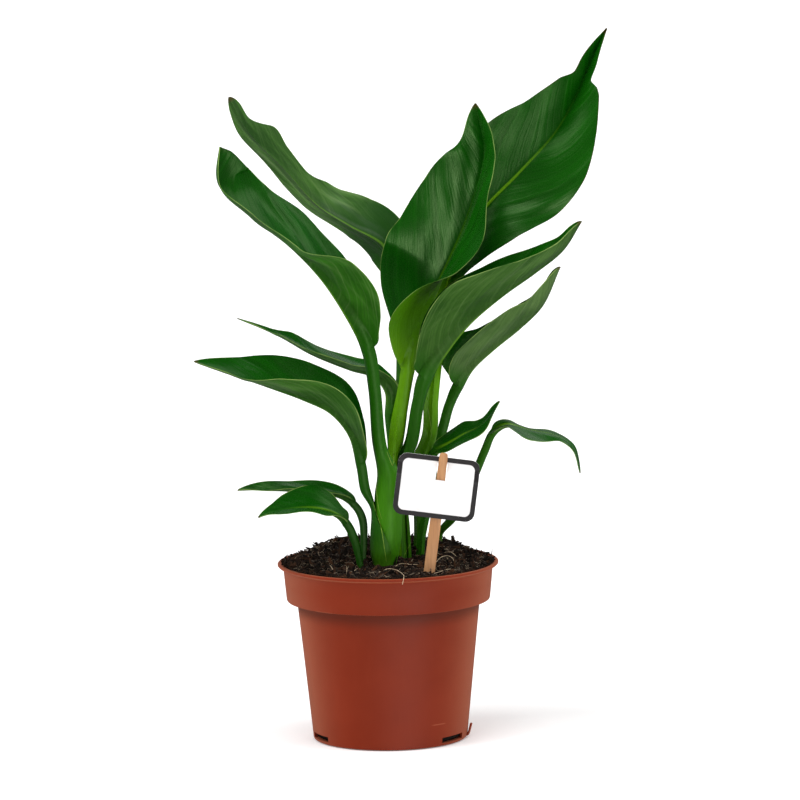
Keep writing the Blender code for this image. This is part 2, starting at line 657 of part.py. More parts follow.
def build_stick(material):
    half, thick = STICK_SIZE[0] / 2, STICK_SIZE[1] / 2
    outline = [(-half, -STICK_DOWN), (half, -STICK_DOWN)]
    outline += [
        (half - 1.2 + 1.2 * math.cos(a), STICK_UP - 1.2 + 1.2 * math.sin(a))
        for a in (0, math.pi / 6, math.pi / 3, math.pi / 2)
    ]
    outline += [(-x, z) for x, z in outline[:1:-1]]
    n = len(outline)
    points = [(x, y, z) for y in (-thick, thick) for x, z in outline]
    faces = [tuple(range(n)), tuple(range(2 * n - 1, n - 1, -1))]
    faces += [(k, n + k, n + (k + 1) % n, (k + 1) % n) for k in range(n)]
    return add_mesh("label_stick", place_label(points), faces, material)


def card_set_back(z):
    """Depth of the card's middle: before the stick below the slot and behind it above."""
    t = min(max(z / CARD_BEND + 0.5, 0), 1)
    return -CARD_STEP / 2 + CARD_STEP * t * t * (3 - 2 * t)


def build_card(material):
    width, height = CARD_SIZE
    low, high = CARD_TOP - height, CARD_TOP
    outline = []
    for cx, cz, start in (
        (width / 2 - CARD_CORNER, high - CARD_CORNER, 0), (CARD_CORNER - width / 2, high - CARD_CORNER, 90),
        (CARD_CORNER - width / 2, low + CARD_CORNER, 180), (width / 2 - CARD_CORNER, low + CARD_CORNER, 270),
    ):
        for step in range(5):
            a = math.radians(start + 22.5 * step)
            outline.append((cx + CARD_CORNER * math.cos(a), cz + CARD_CORNER * math.sin(a)))
    edit = bmesh.new()
    front = edit.faces.new([edit.verts.new((x, 0, z)) for x, z in outline])
    made = bmesh.ops.extrude_face_region(edit, geom=[front])["geom"]
    for vertex in [v for v in made if isinstance(v, bmesh.types.BMVert)]:
        vertex.co.y = CARD_THICK
    for k in range(9):
        level = (0, 0, (k / 8 - 0.5) * CARD_BEND)
        geometry = edit.verts[:] + edit.edges[:] + edit.faces[:]
        bmesh.ops.bisect_plane(edit, geom=geometry, plane_co=level, plane_no=(0, 0, 1))
    for vertex in edit.verts:
        vertex.co.y += card_set_back(vertex.co.z) - CARD_THICK / 2
    edit.verts.index_update()
    points = place_label([v.co + Vector((CARD_SIDE, 0, 0)) for v in edit.verts])
    faces = [tuple(v.index for v in f.verts) for f in edit.faces]
    edit.free()
    card = add_mesh("label_card", points, faces, material)
    turn, origin = label_frame()
    slot = (CARD_SLOT[0], 20, CARD_SLOT[1])
    cut(card, add_cutter("slot_cutter", *turned_box(origin, slot, turn)))
    return card


# Scene


def clear_scene():
    for obj in list(bpy.data.objects):
        bpy.data.objects.remove(obj, do_unlink=True)


def main():
    clear_scene()
    build_pot(make_material("terracotta_plastic", (0.25, 0.04, 0.02), 0.5))
    build_soil(make_material("potting_soil", (0.018, 0.010, 0.006), 0.95))
    leaf_green = make_material("leaf_green", (0.02, 0.07, 0.012), 0.35, 0.3)
    for name, leaf in LEAVES.items():
        build_leaf(name, leaf, leaf_green)
    build_stick(make_material("stick_wood", (0.60, 0.33, 0.13), 0.6))
    build_card(make_material("card_plastic", (0.88, 0.87, 0.85), 0.4))


main()
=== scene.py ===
"""Looks of a young bird of paradise house plant in a round nursery pot, with a plain card on a stick."""

import math

import bmesh
import bpy
import numpy as np
from mathutils import Matrix, Vector, noise
from mathutils.bvhtree import BVHTree


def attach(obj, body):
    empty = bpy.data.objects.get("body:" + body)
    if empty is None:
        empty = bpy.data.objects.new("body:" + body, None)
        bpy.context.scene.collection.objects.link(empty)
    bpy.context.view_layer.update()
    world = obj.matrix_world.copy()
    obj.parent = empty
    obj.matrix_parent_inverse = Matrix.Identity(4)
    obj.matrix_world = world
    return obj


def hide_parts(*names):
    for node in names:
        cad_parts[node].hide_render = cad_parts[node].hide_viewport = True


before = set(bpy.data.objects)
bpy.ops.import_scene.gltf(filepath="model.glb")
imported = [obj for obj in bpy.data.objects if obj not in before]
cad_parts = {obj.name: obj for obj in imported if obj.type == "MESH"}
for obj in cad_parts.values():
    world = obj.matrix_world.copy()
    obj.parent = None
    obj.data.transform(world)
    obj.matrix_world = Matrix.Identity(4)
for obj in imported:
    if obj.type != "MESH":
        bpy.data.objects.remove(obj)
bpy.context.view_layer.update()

MM = 0.001
SEED = 7

# Camera
CAMERA_AT = (0.0, -3.0, 0.60)
CAMERA_AIM = (0.0079, 0.0, 0.18478)
CAMERA_LENS = 251.7
CAMERA_ROLL = 0.866

# Light: name, direction it comes from, its breadth in degrees and its strength
WORLD_LIGHT = 0.55
LAMPS = (
    ("left", (-1.0, -0.4, 0.85), 34, 1.2),
    ("right", (1.0, -0.15, 0.6), 34, 0.9),
    ("top", (-0.1, -0.42, 1.3), 24, 1.1),
    ("back", (0.2, 1.0, 1.3), 40, 0.45),
)
GLOSS_LAMPS = (
    ("gloss_front", (0.16, -1.0, 0.06), 17, 1.35),
    ("gloss_low", (0.62, -1.0, -0.58), 24, 0.9),
)

# Pot, in millimetres
RIM_Z = 96.5
LIP_R = 60.0
COLLAR_TOP_R = 57.0
COLLAR_R = 55.3
COLLAR_Z = 76.0
BODY_TOP_R = 49.7
BASE_R = 42.0
FOOT_R = 41.0
FOOT_THICK = 1.4
WALL = 1.4
DRAIN_ANGLES = (-36, 84, 204)
DRAIN_SIZE = (12.0, 18.6, 3.1)
DRAIN_Z = 3.0
SOIL_EDGE_Z = 95.2
GAP = 0.3
STEM_FOOT = 84.0
POT_SIDES = 168
SHARD_COUNT = 5200
RING_COUNT = 1100
THREAD_COUNT = 1300

# Label, in millimetres
LABEL_Y = -40.0
LABEL_SLOT = (29.5, 151.0)
LABEL_LEAN = 7.8
STICK_SIZE = (6.0, 1.6)
STICK_UP = 10.4
STICK_DOWN = 74.0
CARD_SIZE = (44.0, 33.0)
CARD_SIDE = -1.8
CARD_THICK = 0.8
CARD_CORNER = 5.0
CARD_TOP = 8.0
CARD_STEP = 3.0
CARD_BEND = 8.0
CARD_SLOT = (5.6, 8.6)

# Leaves: points in millimetres, angles in degrees. Looking from base to tip, angle 0 points to the left
# as seen from the front, 90 to the front and 180 to the right.
CARRIED = ("arch", "half", "thick", "deep")
EVEN = ((0, 1), (1, 1))
FINE_THICK = 0.5

# Centres of the leaf clusters where they leave the soil, and the lean of each above it
FRONT_SHOOT = ((-0.6, -19.0), (0.045, 0.0))
MAIN_SHOOT = ((7.2, 8.0), (-0.07, -0.08))
RIGHT_SHOOT = ((16.0, 20.0), (0.06, 0.0))
BACK_SHOOT = ((-2.0, 19.5), (0.03, 0.0))


def row(point, a, b, arch=None, half=None, thick=None, deep=None):
    """One place along a leaf: the rib's point, the two halves' angles, and the section there."""
    return dict(point=np.array(point, float), a=a, b=b, arch=arch, half=half, thick=thick, deep=deep)


def shoot_axis(shoot, z):
    (x, y), (lean_x, lean_y) = shoot
    rise = max(z - 98.0, 0.0)
    return np.array([x + lean_x * rise, y + lean_y * rise, z])


def upper_side(face):
    return np.array([-math.cos(math.radians(face)), -math.sin(math.radians(face)), 0])


def core(point, face, radius):
    """A nearly round stem, its flat side towards angle face."""
    centre = np.array(point, float) + upper_side(face) * 0.35 * radius
    return row(centre, face - 77, face + 77, -10, 0.93 * radius, 0.9, 1.33 * radius - 0.9)


def sheath(axis, face, radius, half_arc):
    """A leaf base that wraps round an axis, open towards angle face."""
    arc = math.radians(half_arc)
    curl = math.degrees(arc) / 2
    point = np.array(axis) - upper_side(face) * radius
    return row(point, face - 90 + curl, face + 90 - curl, -curl, radius * arc, 1.1, 0.0)


def stalk(x, y, z, face, half=3.2, deep=4.2):
    """A channelled stalk, its channel towards angle face."""
    return row((x, y, z), face - 60, face + 60, -8, half, 1.0, deep)


def rib(x, y, z, a, b, arch=None, half=None, deep=None):
    """The blade's rib: its halves leave it at angles a and b, with the upper side between them."""
    return row((x, y, z), a, b, arch, half, None if half is None else 1.0, deep)


# neck is the row where the blade begins, half its greatest half width and stalk the stalk's.
# widest and taper say how far up the blade is widest and how it narrows towards the tip.
# wave holds the height, the number and the shift of the waves in the margins.
# width_a and width_b scale the halves: pairs of a place up the blade, 0 to 1, and the scale there.
# steps holds the number of sections below and above the neck.
LEAVES = {
    "leaf_upper_left_front": dict(
        neck=8, half=27, stalk=3.2, wave=(0.8, 2.5, 0.1), steps=(16, 15),
        width_a=((0, 1), (0.04, 0.8), (0.1, 0.92), (0.2, 1), (1, 1)),
        width_b=((0, 1), (0.3, 0.9), (0.4, 0.84), (0.55, 0.92), (0.63, 0.93), (0.71, 1), (0.785, 1.12),
                 (0.836, 1.24), (0.868, 1.42), (0.898, 1.69), (0.925, 1.89), (0.95, 1.96), (0.985, 2.05), (1, 1)),
        rows=[
            core(shoot_axis(FRONT_SHOOT, STEM_FOOT), 215, 4.4),
            core(shoot_axis(FRONT_SHOOT, 97), 215, 4.8),
            core(shoot_axis(FRONT_SHOOT, 104.5), 215, 6.6),
            core(shoot_axis(FRONT_SHOOT, 114), 215, 7.7),
            core(shoot_axis(FRONT_SHOOT, 134), 212, 7.7),
            core(shoot_axis(FRONT_SHOOT, 146), 205, 6.9),
            stalk(-1.5, -19, 162, 185, 3.6, 4.6),
            stalk(-4, -20, 194, 180),
            rib(-8, -22, 216.5, 145, 235, 0, 3.2, 4),
            rib(-17, -25, 234, 149, 235, -10),
            rib(-32, -30, 256.5, 134, 235, -12),
            rib(-50, -35, 275, 97, 227, -10),
            rib(-71, -40, 291.5, 100, 223),
            rib(-86.5, -44, 308.5, 94, 205),
            rib(-85.5, -46, 328, 92, 205),
        ]),
    "leaf_mid_left": dict(
        neck=6, half=24, stalk=2.4, widest=0.45, taper=0.95, wave=(0.8, 2, 0.5), steps=(14, 15),
        width_b=((0, 1), (0.1, 0.82), (0.25, 1), (1, 1)),
        rows=[
            sheath(shoot_axis(FRONT_SHOOT, STEM_FOOT), 200, 5.3, 93),
            sheath(shoot_axis(FRONT_SHOOT, 97), 200, 5.9, 93),
            sheath(shoot_axis(FRONT_SHOOT, 104.5), 197, 7.85, 88),
            sheath(shoot_axis(FRONT_SHOOT, 114), 188, 8.35, 72),
            sheath(shoot_axis(FRONT_SHOOT, 127), 180, 8.3, 36),
            stalk(-10.5, -22, 141, 178, 2.4, 3.2),
            rib(-12.5, -24, 154.5, 120, 236, 0, 2.4, 3.2),
            rib(-18, -28, 171.5, 112, 236, -5),
            rib(-28.5, -32, 184, 121, 226, -10),
            rib(-43, -36, 191.5, 124, 224, -10),
            rib(-60.5, -41, 198.5, 117, 228),
            rib(-80.5, -45, 206, 95, 238),
            rib(-101.5, -48, 214, 95, 230),
        ]),
    "leaf_low_left_front": dict(
        neck=3, half=13.5, stalk=1.8, steps=(5, 12),
        width_a=((0, 1), (0.06, 0.45), (0.15, 0.4), (0.4, 0.8), (0.7, 0.8), (1, 0.5)),
        width_b=((0, 1), (0.1, 0.65), (0.25, 0.88), (0.4, 1), (0.7, 0.8), (0.85, 0.55), (1, 0.5)),
        rows=[
            core((-14.5, -24, STEM_FOOT), 175, 2.1),
            core((-14.5, -24, 97), 175, 2.1),
            stalk(-17, -26, 113.5, 165, 1.8, 2.4),
            rib(-21.5, -28, 123, 100, 225, 0, 1.8, 2.4),
            rib(-28.5, -32, 129, 86, 222, -10),
            rib(-38.5, -37, 132.5, 82, 220),
            rib(-51, -41, 133, 82, 218),
            rib(-61.5, -44, 131.5, 85, 212),
            rib(-69, -46, 129, 90, 205),
        ]),
    "leaf_low_left_back": dict(
        neck=3, half=9.5, stalk=1.7, steps=(5, 12),
        width_b=((0, 1), (0.1, 0.9), (0.5, 0.85), (0.8, 0.8), (1, 0.8)),
        rows=[
            core((-13, -12, STEM_FOOT), 175, 2.0),
            core((-13, -12, 98), 175, 2.0),
            stalk(-12.5, -11, 122, 165, 1.7, 2.3),
            rib(-17.5, -10, 130.5, 110, 235, 0, 1.7, 2.2),
            rib(-26.5, -8, 135, 100, 236, -8),
            rib(-40.5, -5, 136.5, 98, 236),
            rib(-55, -2, 137, 98, 234),
            rib(-69, 0, 137, 100, 225),
            rib(-81, 2, 136.5, 100, 215),
        ]),
    "leaf_centre": dict(
        neck=5, half=33.5, stalk=3.2, widest=0.46, taper=0.9, wave=(1.0, 2.5, 0.3),
        width_a=((0, 1), (0.2, 1.06), (0.4, 1.08), (0.5, 1), (0.8, 1), (0.9, 0.85), (1, 1)),
        width_b=((0, 1), (0.04, 1.15), (0.12, 1.2), (0.3, 1), (1, 1)),
        rows=[
            core(shoot_axis(MAIN_SHOOT, STEM_FOOT), 60, 2.35),
            core(shoot_axis(MAIN_SHOOT, 105), 60, 2.35),
            core(shoot_axis(MAIN_SHOOT, 150), 60, 2.35),
            stalk(5, 0, 167.5, 45),
            stalk(8, -1, 186, 15),
            rib(11, -2, 201.5, -55, 40, 0, 3.2, 4.2),
            rib(16.5, -1, 218.5, -50, 45, 0),
            rib(24, 1, 237.5, -25, 67, 0),
            rib(33.5, 4, 256, 0, 98, 6),
            rib(43.5, 7, 277.5, 0, 108, 10),
            rib(50.5, 9, 297.5, 2, 103),
            rib(55, 12, 319, 12, 106),
            rib(51, 14, 344, 20, 120),
        ]),
    "leaf_right_upper": dict(
        neck=5, half=26, stalk=3.2, wave=(0.8, 2, 0.2),
        width_a=((0, 1), (0.06, 0.7), (0.15, 0.8), (0.3, 0.88), (0.6, 0.95), (0.75, 0.85), (0.88, 0.7),
                 (1, 0.8)),
        width_b=((0, 1), (0.06, 0.72), (0.15, 0.8), (0.3, 1), (0.45, 1.2), (0.6, 1.12), (0.8, 1), (1, 1)),
        rows=[
            sheath(shoot_axis(MAIN_SHOOT, STEM_FOOT), 35, 3.25, 105),
            sheath(shoot_axis(MAIN_SHOOT, 120), 35, 3.25, 105),
            sheath(shoot_axis(MAIN_SHOOT, 142), 32, 3.6, 85),
            stalk(12.5, 0, 163, 8),
            stalk(16, -4, 184, 0),
            rib(21, -8, 199, -20, 20, 0, 3.2, 4.2),
            rib(30, -13, 212.5, -12, 24, -8),
            rib(44, -18, 229, -25, 36, -10),
            rib(62.5, -22, 244, -51, 50, -10),
            rib(81, -25, 256.5, -56, 57),
            rib(96, -29, 268.5, -50, 62),
            rib(106, -32, 284, -45, 60),
        ]),
    "leaf_upper_right": dict(
        neck=6, half=32, stalk=3.2, widest=0.45, taper=1.05, wave=(0.8, 3, 0.6),
        width_a=((0, 1), (0.4, 1), (0.55, 1.05), (0.7, 1), (0.8, 0.9), (0.845, 0.6), (0.9, 0.75), (1, 0.8)),
        width_b=((0, 1), (0.1, 0.5), (0.2, 0.76), (0.3, 0.87), (0.4, 0.9), (0.5, 1), (0.6, 1.03),
                 (0.7, 0.94), (0.8, 0.97), (0.822, 0.85), (0.838, 0.42), (0.9, 0.72), (1, 0.8)),
        rows=[
            sheath(shoot_axis(MAIN_SHOOT, STEM_FOOT), 60, 5.15, 90),
            sheath(shoot_axis(MAIN_SHOOT, 112), 60, 5.15, 90),
            sheath(shoot_axis(MAIN_SHOOT, 130), 55, 5.9, 60),
            stalk(22.5, 10, 163, 55),
            stalk(24, 9, 183.5, 60),
            stalk(26.5, 11, 205, 60),
            rib(30.5, 15, 229, 35, 140, 0, 3.2, 4.2),
            rib(39, 19, 257.5, 25, 132, 8),
            rib(54, 24, 284, 18, 148, 10),
            rib(75, 29, 305, 14, 162),
            rib(95.5, 34, 327, 26, 148),
            rib(109.5, 38, 352, 38, 125),
            rib(116, 40, 367.5, 45, 110),
            rib(123.5, 41, 381.5, 45, 110),
        ]),
    "leaf_right_lower": dict(
        neck=5, half=24, stalk=2.4, wave=(0.8, 2, 0.8), steps=(9, 13),
        width_a=((0, 1), (0.04, 1.5), (0.1, 1.25), (0.2, 0.95), (0.3, 0.75), (0.6, 0.7), (0.85, 0.55),
                 (1, 0.8)),
        rows=[
            core(shoot_axis(RIGHT_SHOOT, STEM_FOOT), 20, 2.45),
            core(shoot_axis(RIGHT_SHOOT, 105), 20, 2.45),
            core(shoot_axis(RIGHT_SHOOT, 140), 20, 2.45),
            stalk(28.5, 20, 162, 10, 2.4, 3),
            stalk(33.5, 19, 179, 5, 2.4, 3),
            rib(39, 17, 190.5, -30, 50, 0, 2.4, 3.2),
            rib(46.5, 15, 201, -35, 52, -8),
            rib(59, 11, 212, -52, 54, -10),
            rib(73, 9, 222.5, -58, 56),
            rib(85.5, 7, 234.5, -58, 56),
            rib(95.5, 5, 255.5, -50, 60),
        ]),
    "leaf_small_right": dict(
        neck=4, half=9.5, stalk=2.0, steps=(6, 10),
        width_a=((0, 1), (0.4, 0.95), (0.6, 0.6), (0.8, 0.5), (1, 0.5)),
        width_b=((0, 1), (0.4, 0.95), (0.6, 0.8), (1, 0.8)),
        rows=[
            core((18, 9.5, STEM_FOOT), 45, 2.2),
            core((18, 9.5, 104), 45, 2.2),
            stalk(24, 10, 140.5, 40, 2.2, 2.6),
            stalk(23, 8, 149.5, 30, 2.2, 2.6),
            rib(26, 5, 156, -45, 105, 0, 2, 2.2),
            rib(33, 2, 160.5, -58, 112, -5),
            rib(41.5, -2, 166, -60, 115),
            rib(51.5, -5, 171.5, -60, 115),
            rib(61.5, -8, 184.5, -45, 105),
        ]),
    "leaf_drooping_right": dict(
        neck=6, half=10.5, stalk=1.9, steps=(8, 12),
        width_a=((0, 1), (0.1, 0.7), (0.25, 0.35), (0.5, 0.5), (0.7, 0.7), (0.8, 1), (1, 0.8)),
        width_b=((0, 1), (0.08, 0.4), (0.15, 0.35), (0.3, 0.85), (0.45, 1.15), (0.55, 1), (0.66, 0.45),
                 (0.8, 0.8), (1, 0.6)),
        rows=[
            core((28, 33, STEM_FOOT), 0, 2.4),
            core((28, 33, 96), 0, 2.3),
            core((28.3, 32.7, 106), 0, 2.3),
            stalk(35.5, 24, 117.5, 0, 2.0, 2.6),
            stalk(46.5, 14, 140.5, 0, 2.0, 2.4),
            stalk(52.5, 8, 155.5, 0, 2.0, 2.4),
            rib(57.5, 3, 166.5, -60, 95, 0, 1.9, 2.2),
            rib(65.5, -2, 171.5, -80, 110, 5),
            rib(78, -8, 169, -85, 112),
            rib(91, -14, 166.5, -85, 112),
            rib(101, -19, 161, -85, 112),
            rib(104.5, -22, 146.5, -80, 105),
        ]),
    "leaf_upper_left_back": dict(
        neck=5, half=24.5, stalk=3.2, taper=0.68, wave=(0.6, 2.5, 0.9),
        width_a=((0, 1), (0.2, 1.15), (0.3, 1.08), (0.4, 1), (0.5, 1), (0.6, 0.67), (0.7, 0.8),
                 (0.8, 1.14), (0.9, 0.58), (1, 1)),
        rows=[
            core(shoot_axis(BACK_SHOOT, STEM_FOOT), 170, 2.3),
            core(shoot_axis(BACK_SHOOT, 120), 170, 2.3),
            stalk(8, 22.5, 159.5, 180),
            stalk(11, 25, 192.5, 200),
            stalk(11, 28, 225, 220),
            rib(8.5, 31, 245.5, 235, 310, 0, 3.2, 4.2),
            rib(1, 34, 265, 230, 305, 5),
            rib(-18, 38, 276.5, 232, 290, 8),
            rib(-35, 43, 287, 240, 288, 8),
            rib(-53.5, 48, 307, 243, 289),
            rib(-73, 52, 327.5, 232, 295),
            rib(-83, 55, 346, 230, 300),
        ]),
    "leaf_mid_left_back": dict(
        neck=4, half=11.5, stalk=2.6, steps=(10, 13),
        width_a=((0, 1), (0.08, 0.95), (0.18, 0.9), (0.32, 1), (0.72, 1), (0.84, 0.4), (1, 0.4)),
        width_b=((0, 1), (0.08, 1), (0.18, 0.9), (0.32, 1), (0.72, 0.95), (0.84, 0.3), (1, 0.3)),
        rows=[
            sheath(shoot_axis(BACK_SHOOT, STEM_FOOT), 225, 3.4, 90),
            sheath(shoot_axis(BACK_SHOOT, 112), 225, 3.9, 66),
            stalk(0.2, 13.4, 132, 235, 2.4, 2.4),
            stalk(4.2, 13.2, 150, 215, 2.3, 2.6),
            rib(3.4, 11.5, 175, 140, 228, 0, 2.4, 3),
            rib(2.5, 11.5, 188, 136, 228, -6),
            rib(-4.5, 12.5, 197, 116, 244, -8),
            rib(-19, 16, 201, 106, 248, -8),
            rib(-39.5, 20, 208.5, 102, 246),
            rib(-59, 24, 219, 102, 244),
            rib(-80, 27, 227.5, 102, 240),
        ]),
}


# Leaf paths


def smooth_path(points, per_key=20):
    """Centripetal Catmull-Rom curve: its fine points, their distances, and the keys' distances."""
    ends = np.vstack([2 * points[0] - points[1], points, 2 * points[-1] - points[-2]])
    knots = np.concatenate([[0], np.cumsum(np.sqrt(np.linalg.norm(np.diff(ends, axis=0), axis=1)))])
    fine = []
    for i in range(1, len(ends) - 2):
        p, t = ends[i - 1:i + 3], knots[i - 1:i + 3]
        for x in np.linspace(t[1], t[2], per_key, endpoint=False):
            level = list(p)
            for step in (1, 2):
                level = [
                    ((t[k + step] - x) * level[k] + (x - t[k]) * level[k + 1]) / (t[k + step] - t[k])
                    for k in range(len(level) - 1)
                ]
            fine.append(((t[2] - x) * level[0] + (x - t[1]) * level[1]) / (t[2] - t[1]))
    fine = np.array(fine + [points[-1]])
    far = np.concatenate([[0], np.cumsum(np.linalg.norm(np.diff(fine, axis=0), axis=1))])
    return fine, far, far[::per_key]


def smooth_value(keys, values, where):
    """Monotone cubic through the keyed values."""
    step = np.diff(keys)
    slope = np.diff(values) / step
    tangent = np.zeros(len(values))
    for i in range(1, len(values) - 1):
        if slope[i - 1] * slope[i] > 0:
            tangent[i] = 2 * slope[i - 1] * slope[i] / (slope[i - 1] + slope[i])
    out = []
    for x in where:
        i = min(max(int(np.searchsorted(keys, x)) - 1, 0), len(step) - 1)
        t = min(max((x - keys[i]) / step[i], 0), 1)
        out.append(
            (2 * t**3 - 3 * t**2 + 1) * values[i] + (t**3 - 2 * t**2 + t) * step[i] * tangent[i]
            + (3 * t**2 - 2 * t**3) * values[i + 1] + (t**3 - t**2) * step[i] * tangent[i + 1]
        )
    return np.array(out)



def fine_stations(leaf, below, above):
    """Everything the fine section needs, at closely spaced places along the leaf."""
    rows = leaf["rows"]
    for before, after in zip(rows, rows[1:]):
        for name in CARRIED:
            if after[name] is None:
                after[name] = before[name]
    fine, far, keys = smooth_path(np.array([r["point"] for r in rows]))
    neck, length = keys[leaf["neck"]], far[-1]
    spread = np.linspace(0, 1, above + 1)
    spread = 0.6 * spread + 0.2 * (1 - np.cos(math.pi * spread))
    spread = np.union1d(np.union1d(spread, np.linspace(0.8, 0.86, 16)), np.linspace(0.9, 1, 26))
    where = np.concatenate([np.linspace(0, neck, below, endpoint=False), neck + (length - neck) * spread])

    def along(x):
        return np.stack([np.interp(x, far, fine[:, k]) for k in range(3)], -1)

    forward = along(np.clip(where + 0.8, 0, length)) - along(np.clip(where - 0.8, 0, length))
    forward /= np.linalg.norm(forward, axis=1, keepdims=True)
    made = {name: smooth_value(keys, [r[name] for r in rows], where) for name in ("a", "b", *CARRIED)}
    up = np.clip((where - neck) / (length - neck), 0, 1)
    taper = leaf.get("taper", 0.75)
    widest = leaf.get("widest", 0.42)
    rise = widest / (1 - widest) * taper
    outline = up**rise * (1 - up)**taper / (widest**rise * (1 - widest)**taper)
    stem = leaf["stalk"] * (1 - up)**2
    on_blade = up > 0
    made["half"] = np.where(on_blade, np.sqrt(stem**2 + (leaf["half"] * outline)**2) + 0.35 * up, made["half"])
    become = np.clip(up / 0.12, 0, 1)
    made["thick"] = made["thick"] * (1 - become) + FINE_THICK * become
    made["deep"] = made["deep"] * (1 - up)**1.6
    made["rib"] = np.where(on_blade, np.minimum(made["half"], leaf["stalk"] * (1 - up) + 0.7), made["half"])
    made["up"] = up
    made["far"] = where - neck
    for side in ("width_a", "width_b"):
        places, scales = zip(*leaf.get(side, EVEN))
        made[side] = smooth_value(places, scales, up)
    return along(where), forward, made


def fine_columns(count):
    """Places across the leaf, closer together at the rib and at the margins."""
    x = np.linspace(-1, 1, count)
    near_rib = np.sign(x) * np.abs(x)**1.35
    return near_rib + 0.06 * np.sin(math.pi * x)


def build_leaf(name, leaf, material):
    size = leaf["half"]
    below, above, across = (60, 130, 49) if size > 15 else (44, 90, 33)
    point, forward, s = fine_stations(leaf, below, above)
    v = fine_columns(across)
    m = np.abs(v)
    left = np.cross(forward, (0.0, 1.0, 0.0))
    left /= np.linalg.norm(left, axis=1, keepdims=True)
    front = np.cross(forward, left)
    start = np.where(v[None, :] < 0, s["a"][:, None], s["b"][:, None])
    turn = np.where(v < 0, 1.0, -1.0)[None, :]
    x = (np.arange(10) + 0.5)[None, :] / 10 * m[:, None]
    bend = start[:, :, None] + turn[:, :, None] * s["arch"][:, None, None] * (1 - 2 * x[None])
    bend = np.radians(bend)
    half = s["half"][:, None] * np.where(v[None, :] < 0, s["width_a"][:, None], s["width_b"][:, None])
    reach = half * m[None, :]
    flat = np.stack([np.cos(bend).mean(-1) * reach, np.sin(bend).mean(-1) * reach], -1)
    tilt = np.radians(start + turn * (s["arch"][:, None] * (1 - 2 * m[None, :]) + 90))
    rib_up = np.radians((s["a"] + s["b"]) / 2)[:, None]
    share = np.clip(m / 0.3, 0, 1)[None, :]
    share = share * share * (3 - 2 * share)
    nx = np.cos(tilt) * share + np.cos(rib_up) * (1 - share)
    ny = np.sin(tilt) * share + np.sin(rib_up) * (1 - share)
    size2 = np.sqrt(nx**2 + ny**2)
    nx, ny = nx / size2, ny / size2
    height, count, phase = leaf.get("wave", (0.6, 2, 0.2))
    up = s["up"][:, None]
    swell = np.where((up > 0) & (up < 1), np.sin(math.pi * np.clip(up, 0, 1))**0.7, 0)
    swell = np.nan_to_num(swell)
    ripple = np.sin(2 * math.pi * (count * up + phase + np.where(v > 0, 0.37, 0)[None, :]))
    lift = height * m[None, :]**2 * swell * ripple
    slant = s["far"][:, None] - (1.15 + 0.9 * m[None, :]) * reach
    pleat = np.sin(2 * math.pi * slant / 8.5 + 2.0 * np.sin(slant / 23.0 + v[None, :] * 2))
    lift = lift + 0.05 * pleat * swell * np.clip(m * 3, 0, 1)[None, :] * (1 - 0.4 * m[None, :])
    side_shift = np.where(v > 0, 1.7, 0.0)[None, :]
    slow = np.sin(slant / 4.6 + 1.8 * np.sin(slant / 17.0 + phase * 6) + 0.16 * reach + side_shift)
    broad = np.sin(slant / 9.5 + 2.1 * np.sin(reach / 8.0 + phase * 9) + side_shift)
    lift = lift + (0.24 * slow + 0.7 * broad) * swell * np.clip(m * 2.5, 0, 1)[None, :] * (1 - 0.55 * m[None, :])
    groove = 0.55 * np.exp(-(reach / 1.1)**2) * np.clip(up / 0.05, 0, 1) * (1 - up)
    lift = lift - groove
    edge3 = left[:, None, :] * flat[..., :1] + front[:, None, :] * flat[..., 1:]
    normal = left[:, None, :] * nx[..., None] + front[:, None, :] * ny[..., None]
    upper = point[:, None, :] + edge3 + normal * lift[..., None]
    inside = np.clip(1 - (reach / s["rib"][:, None])**2, 0, 1)
    down = s["thick"][:, None] * (1 - 0.45 * m[None, :]**6) + s["deep"][:, None] * np.sqrt(inside)
    lower = upper - normal * (down - groove)[..., None]
    rows_n, cols_n = upper.shape[:2]
    vertices = np.concatenate([upper.reshape(-1, 3), lower.reshape(-1, 3)]) * MM
    index = np.arange(rows_n * cols_n).reshape(rows_n, cols_n)
    low = index + rows_n * cols_n
    quads = [
        np.stack([index[:-1, :-1], index[:-1, 1:], index[1:, 1:], index[1:, :-1]], -1).reshape(-1, 4),
        np.stack([low[:-1, :-1], low[1:, :-1], low[1:, 1:], low[:-1, 1:]], -1).reshape(-1, 4),
        np.stack([index[:-1, 0], index[1:, 0], low[1:, 0], low[:-1, 0]], -1),
        np.stack([index[:-1, -1], low[:-1, -1], low[1:, -1], index[1:, -1]], -1),
        np.stack([index[0, :-1], low[0, :-1], low[0, 1:], index[0, 1:]], -1),
        np.stack([index[-1, :-1], index[-1, 1:], low[-1, 1:], low[-1, :-1]], -1),
    ]
    obj = add_mesh(name + "_piece", vertices, np.concatenate(quads).tolist(), material, sharp=55)
    place = np.zeros((2, rows_n, cols_n, 3), np.float32)
    place[..., 0] = s["far"][:, None]
    place[..., 1] = reach * np.sign(v)[None, :]
    place[0, ..., 2] = 1
    form = np.zeros((2, rows_n, cols_n, 3), np.float32)
    form[..., 0] = up
    form[..., 1] = m[None, :]
    form[..., 2] = half
    for label, values in (("leaf_place", place), ("leaf_form", form)):
        made = obj.data.attributes.new(label, "FLOAT_VECTOR", "POINT")
        made.data.foreach_set("vector", values.reshape(-1))
    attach(obj, "root")
    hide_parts(name)
    return obj


# Shared


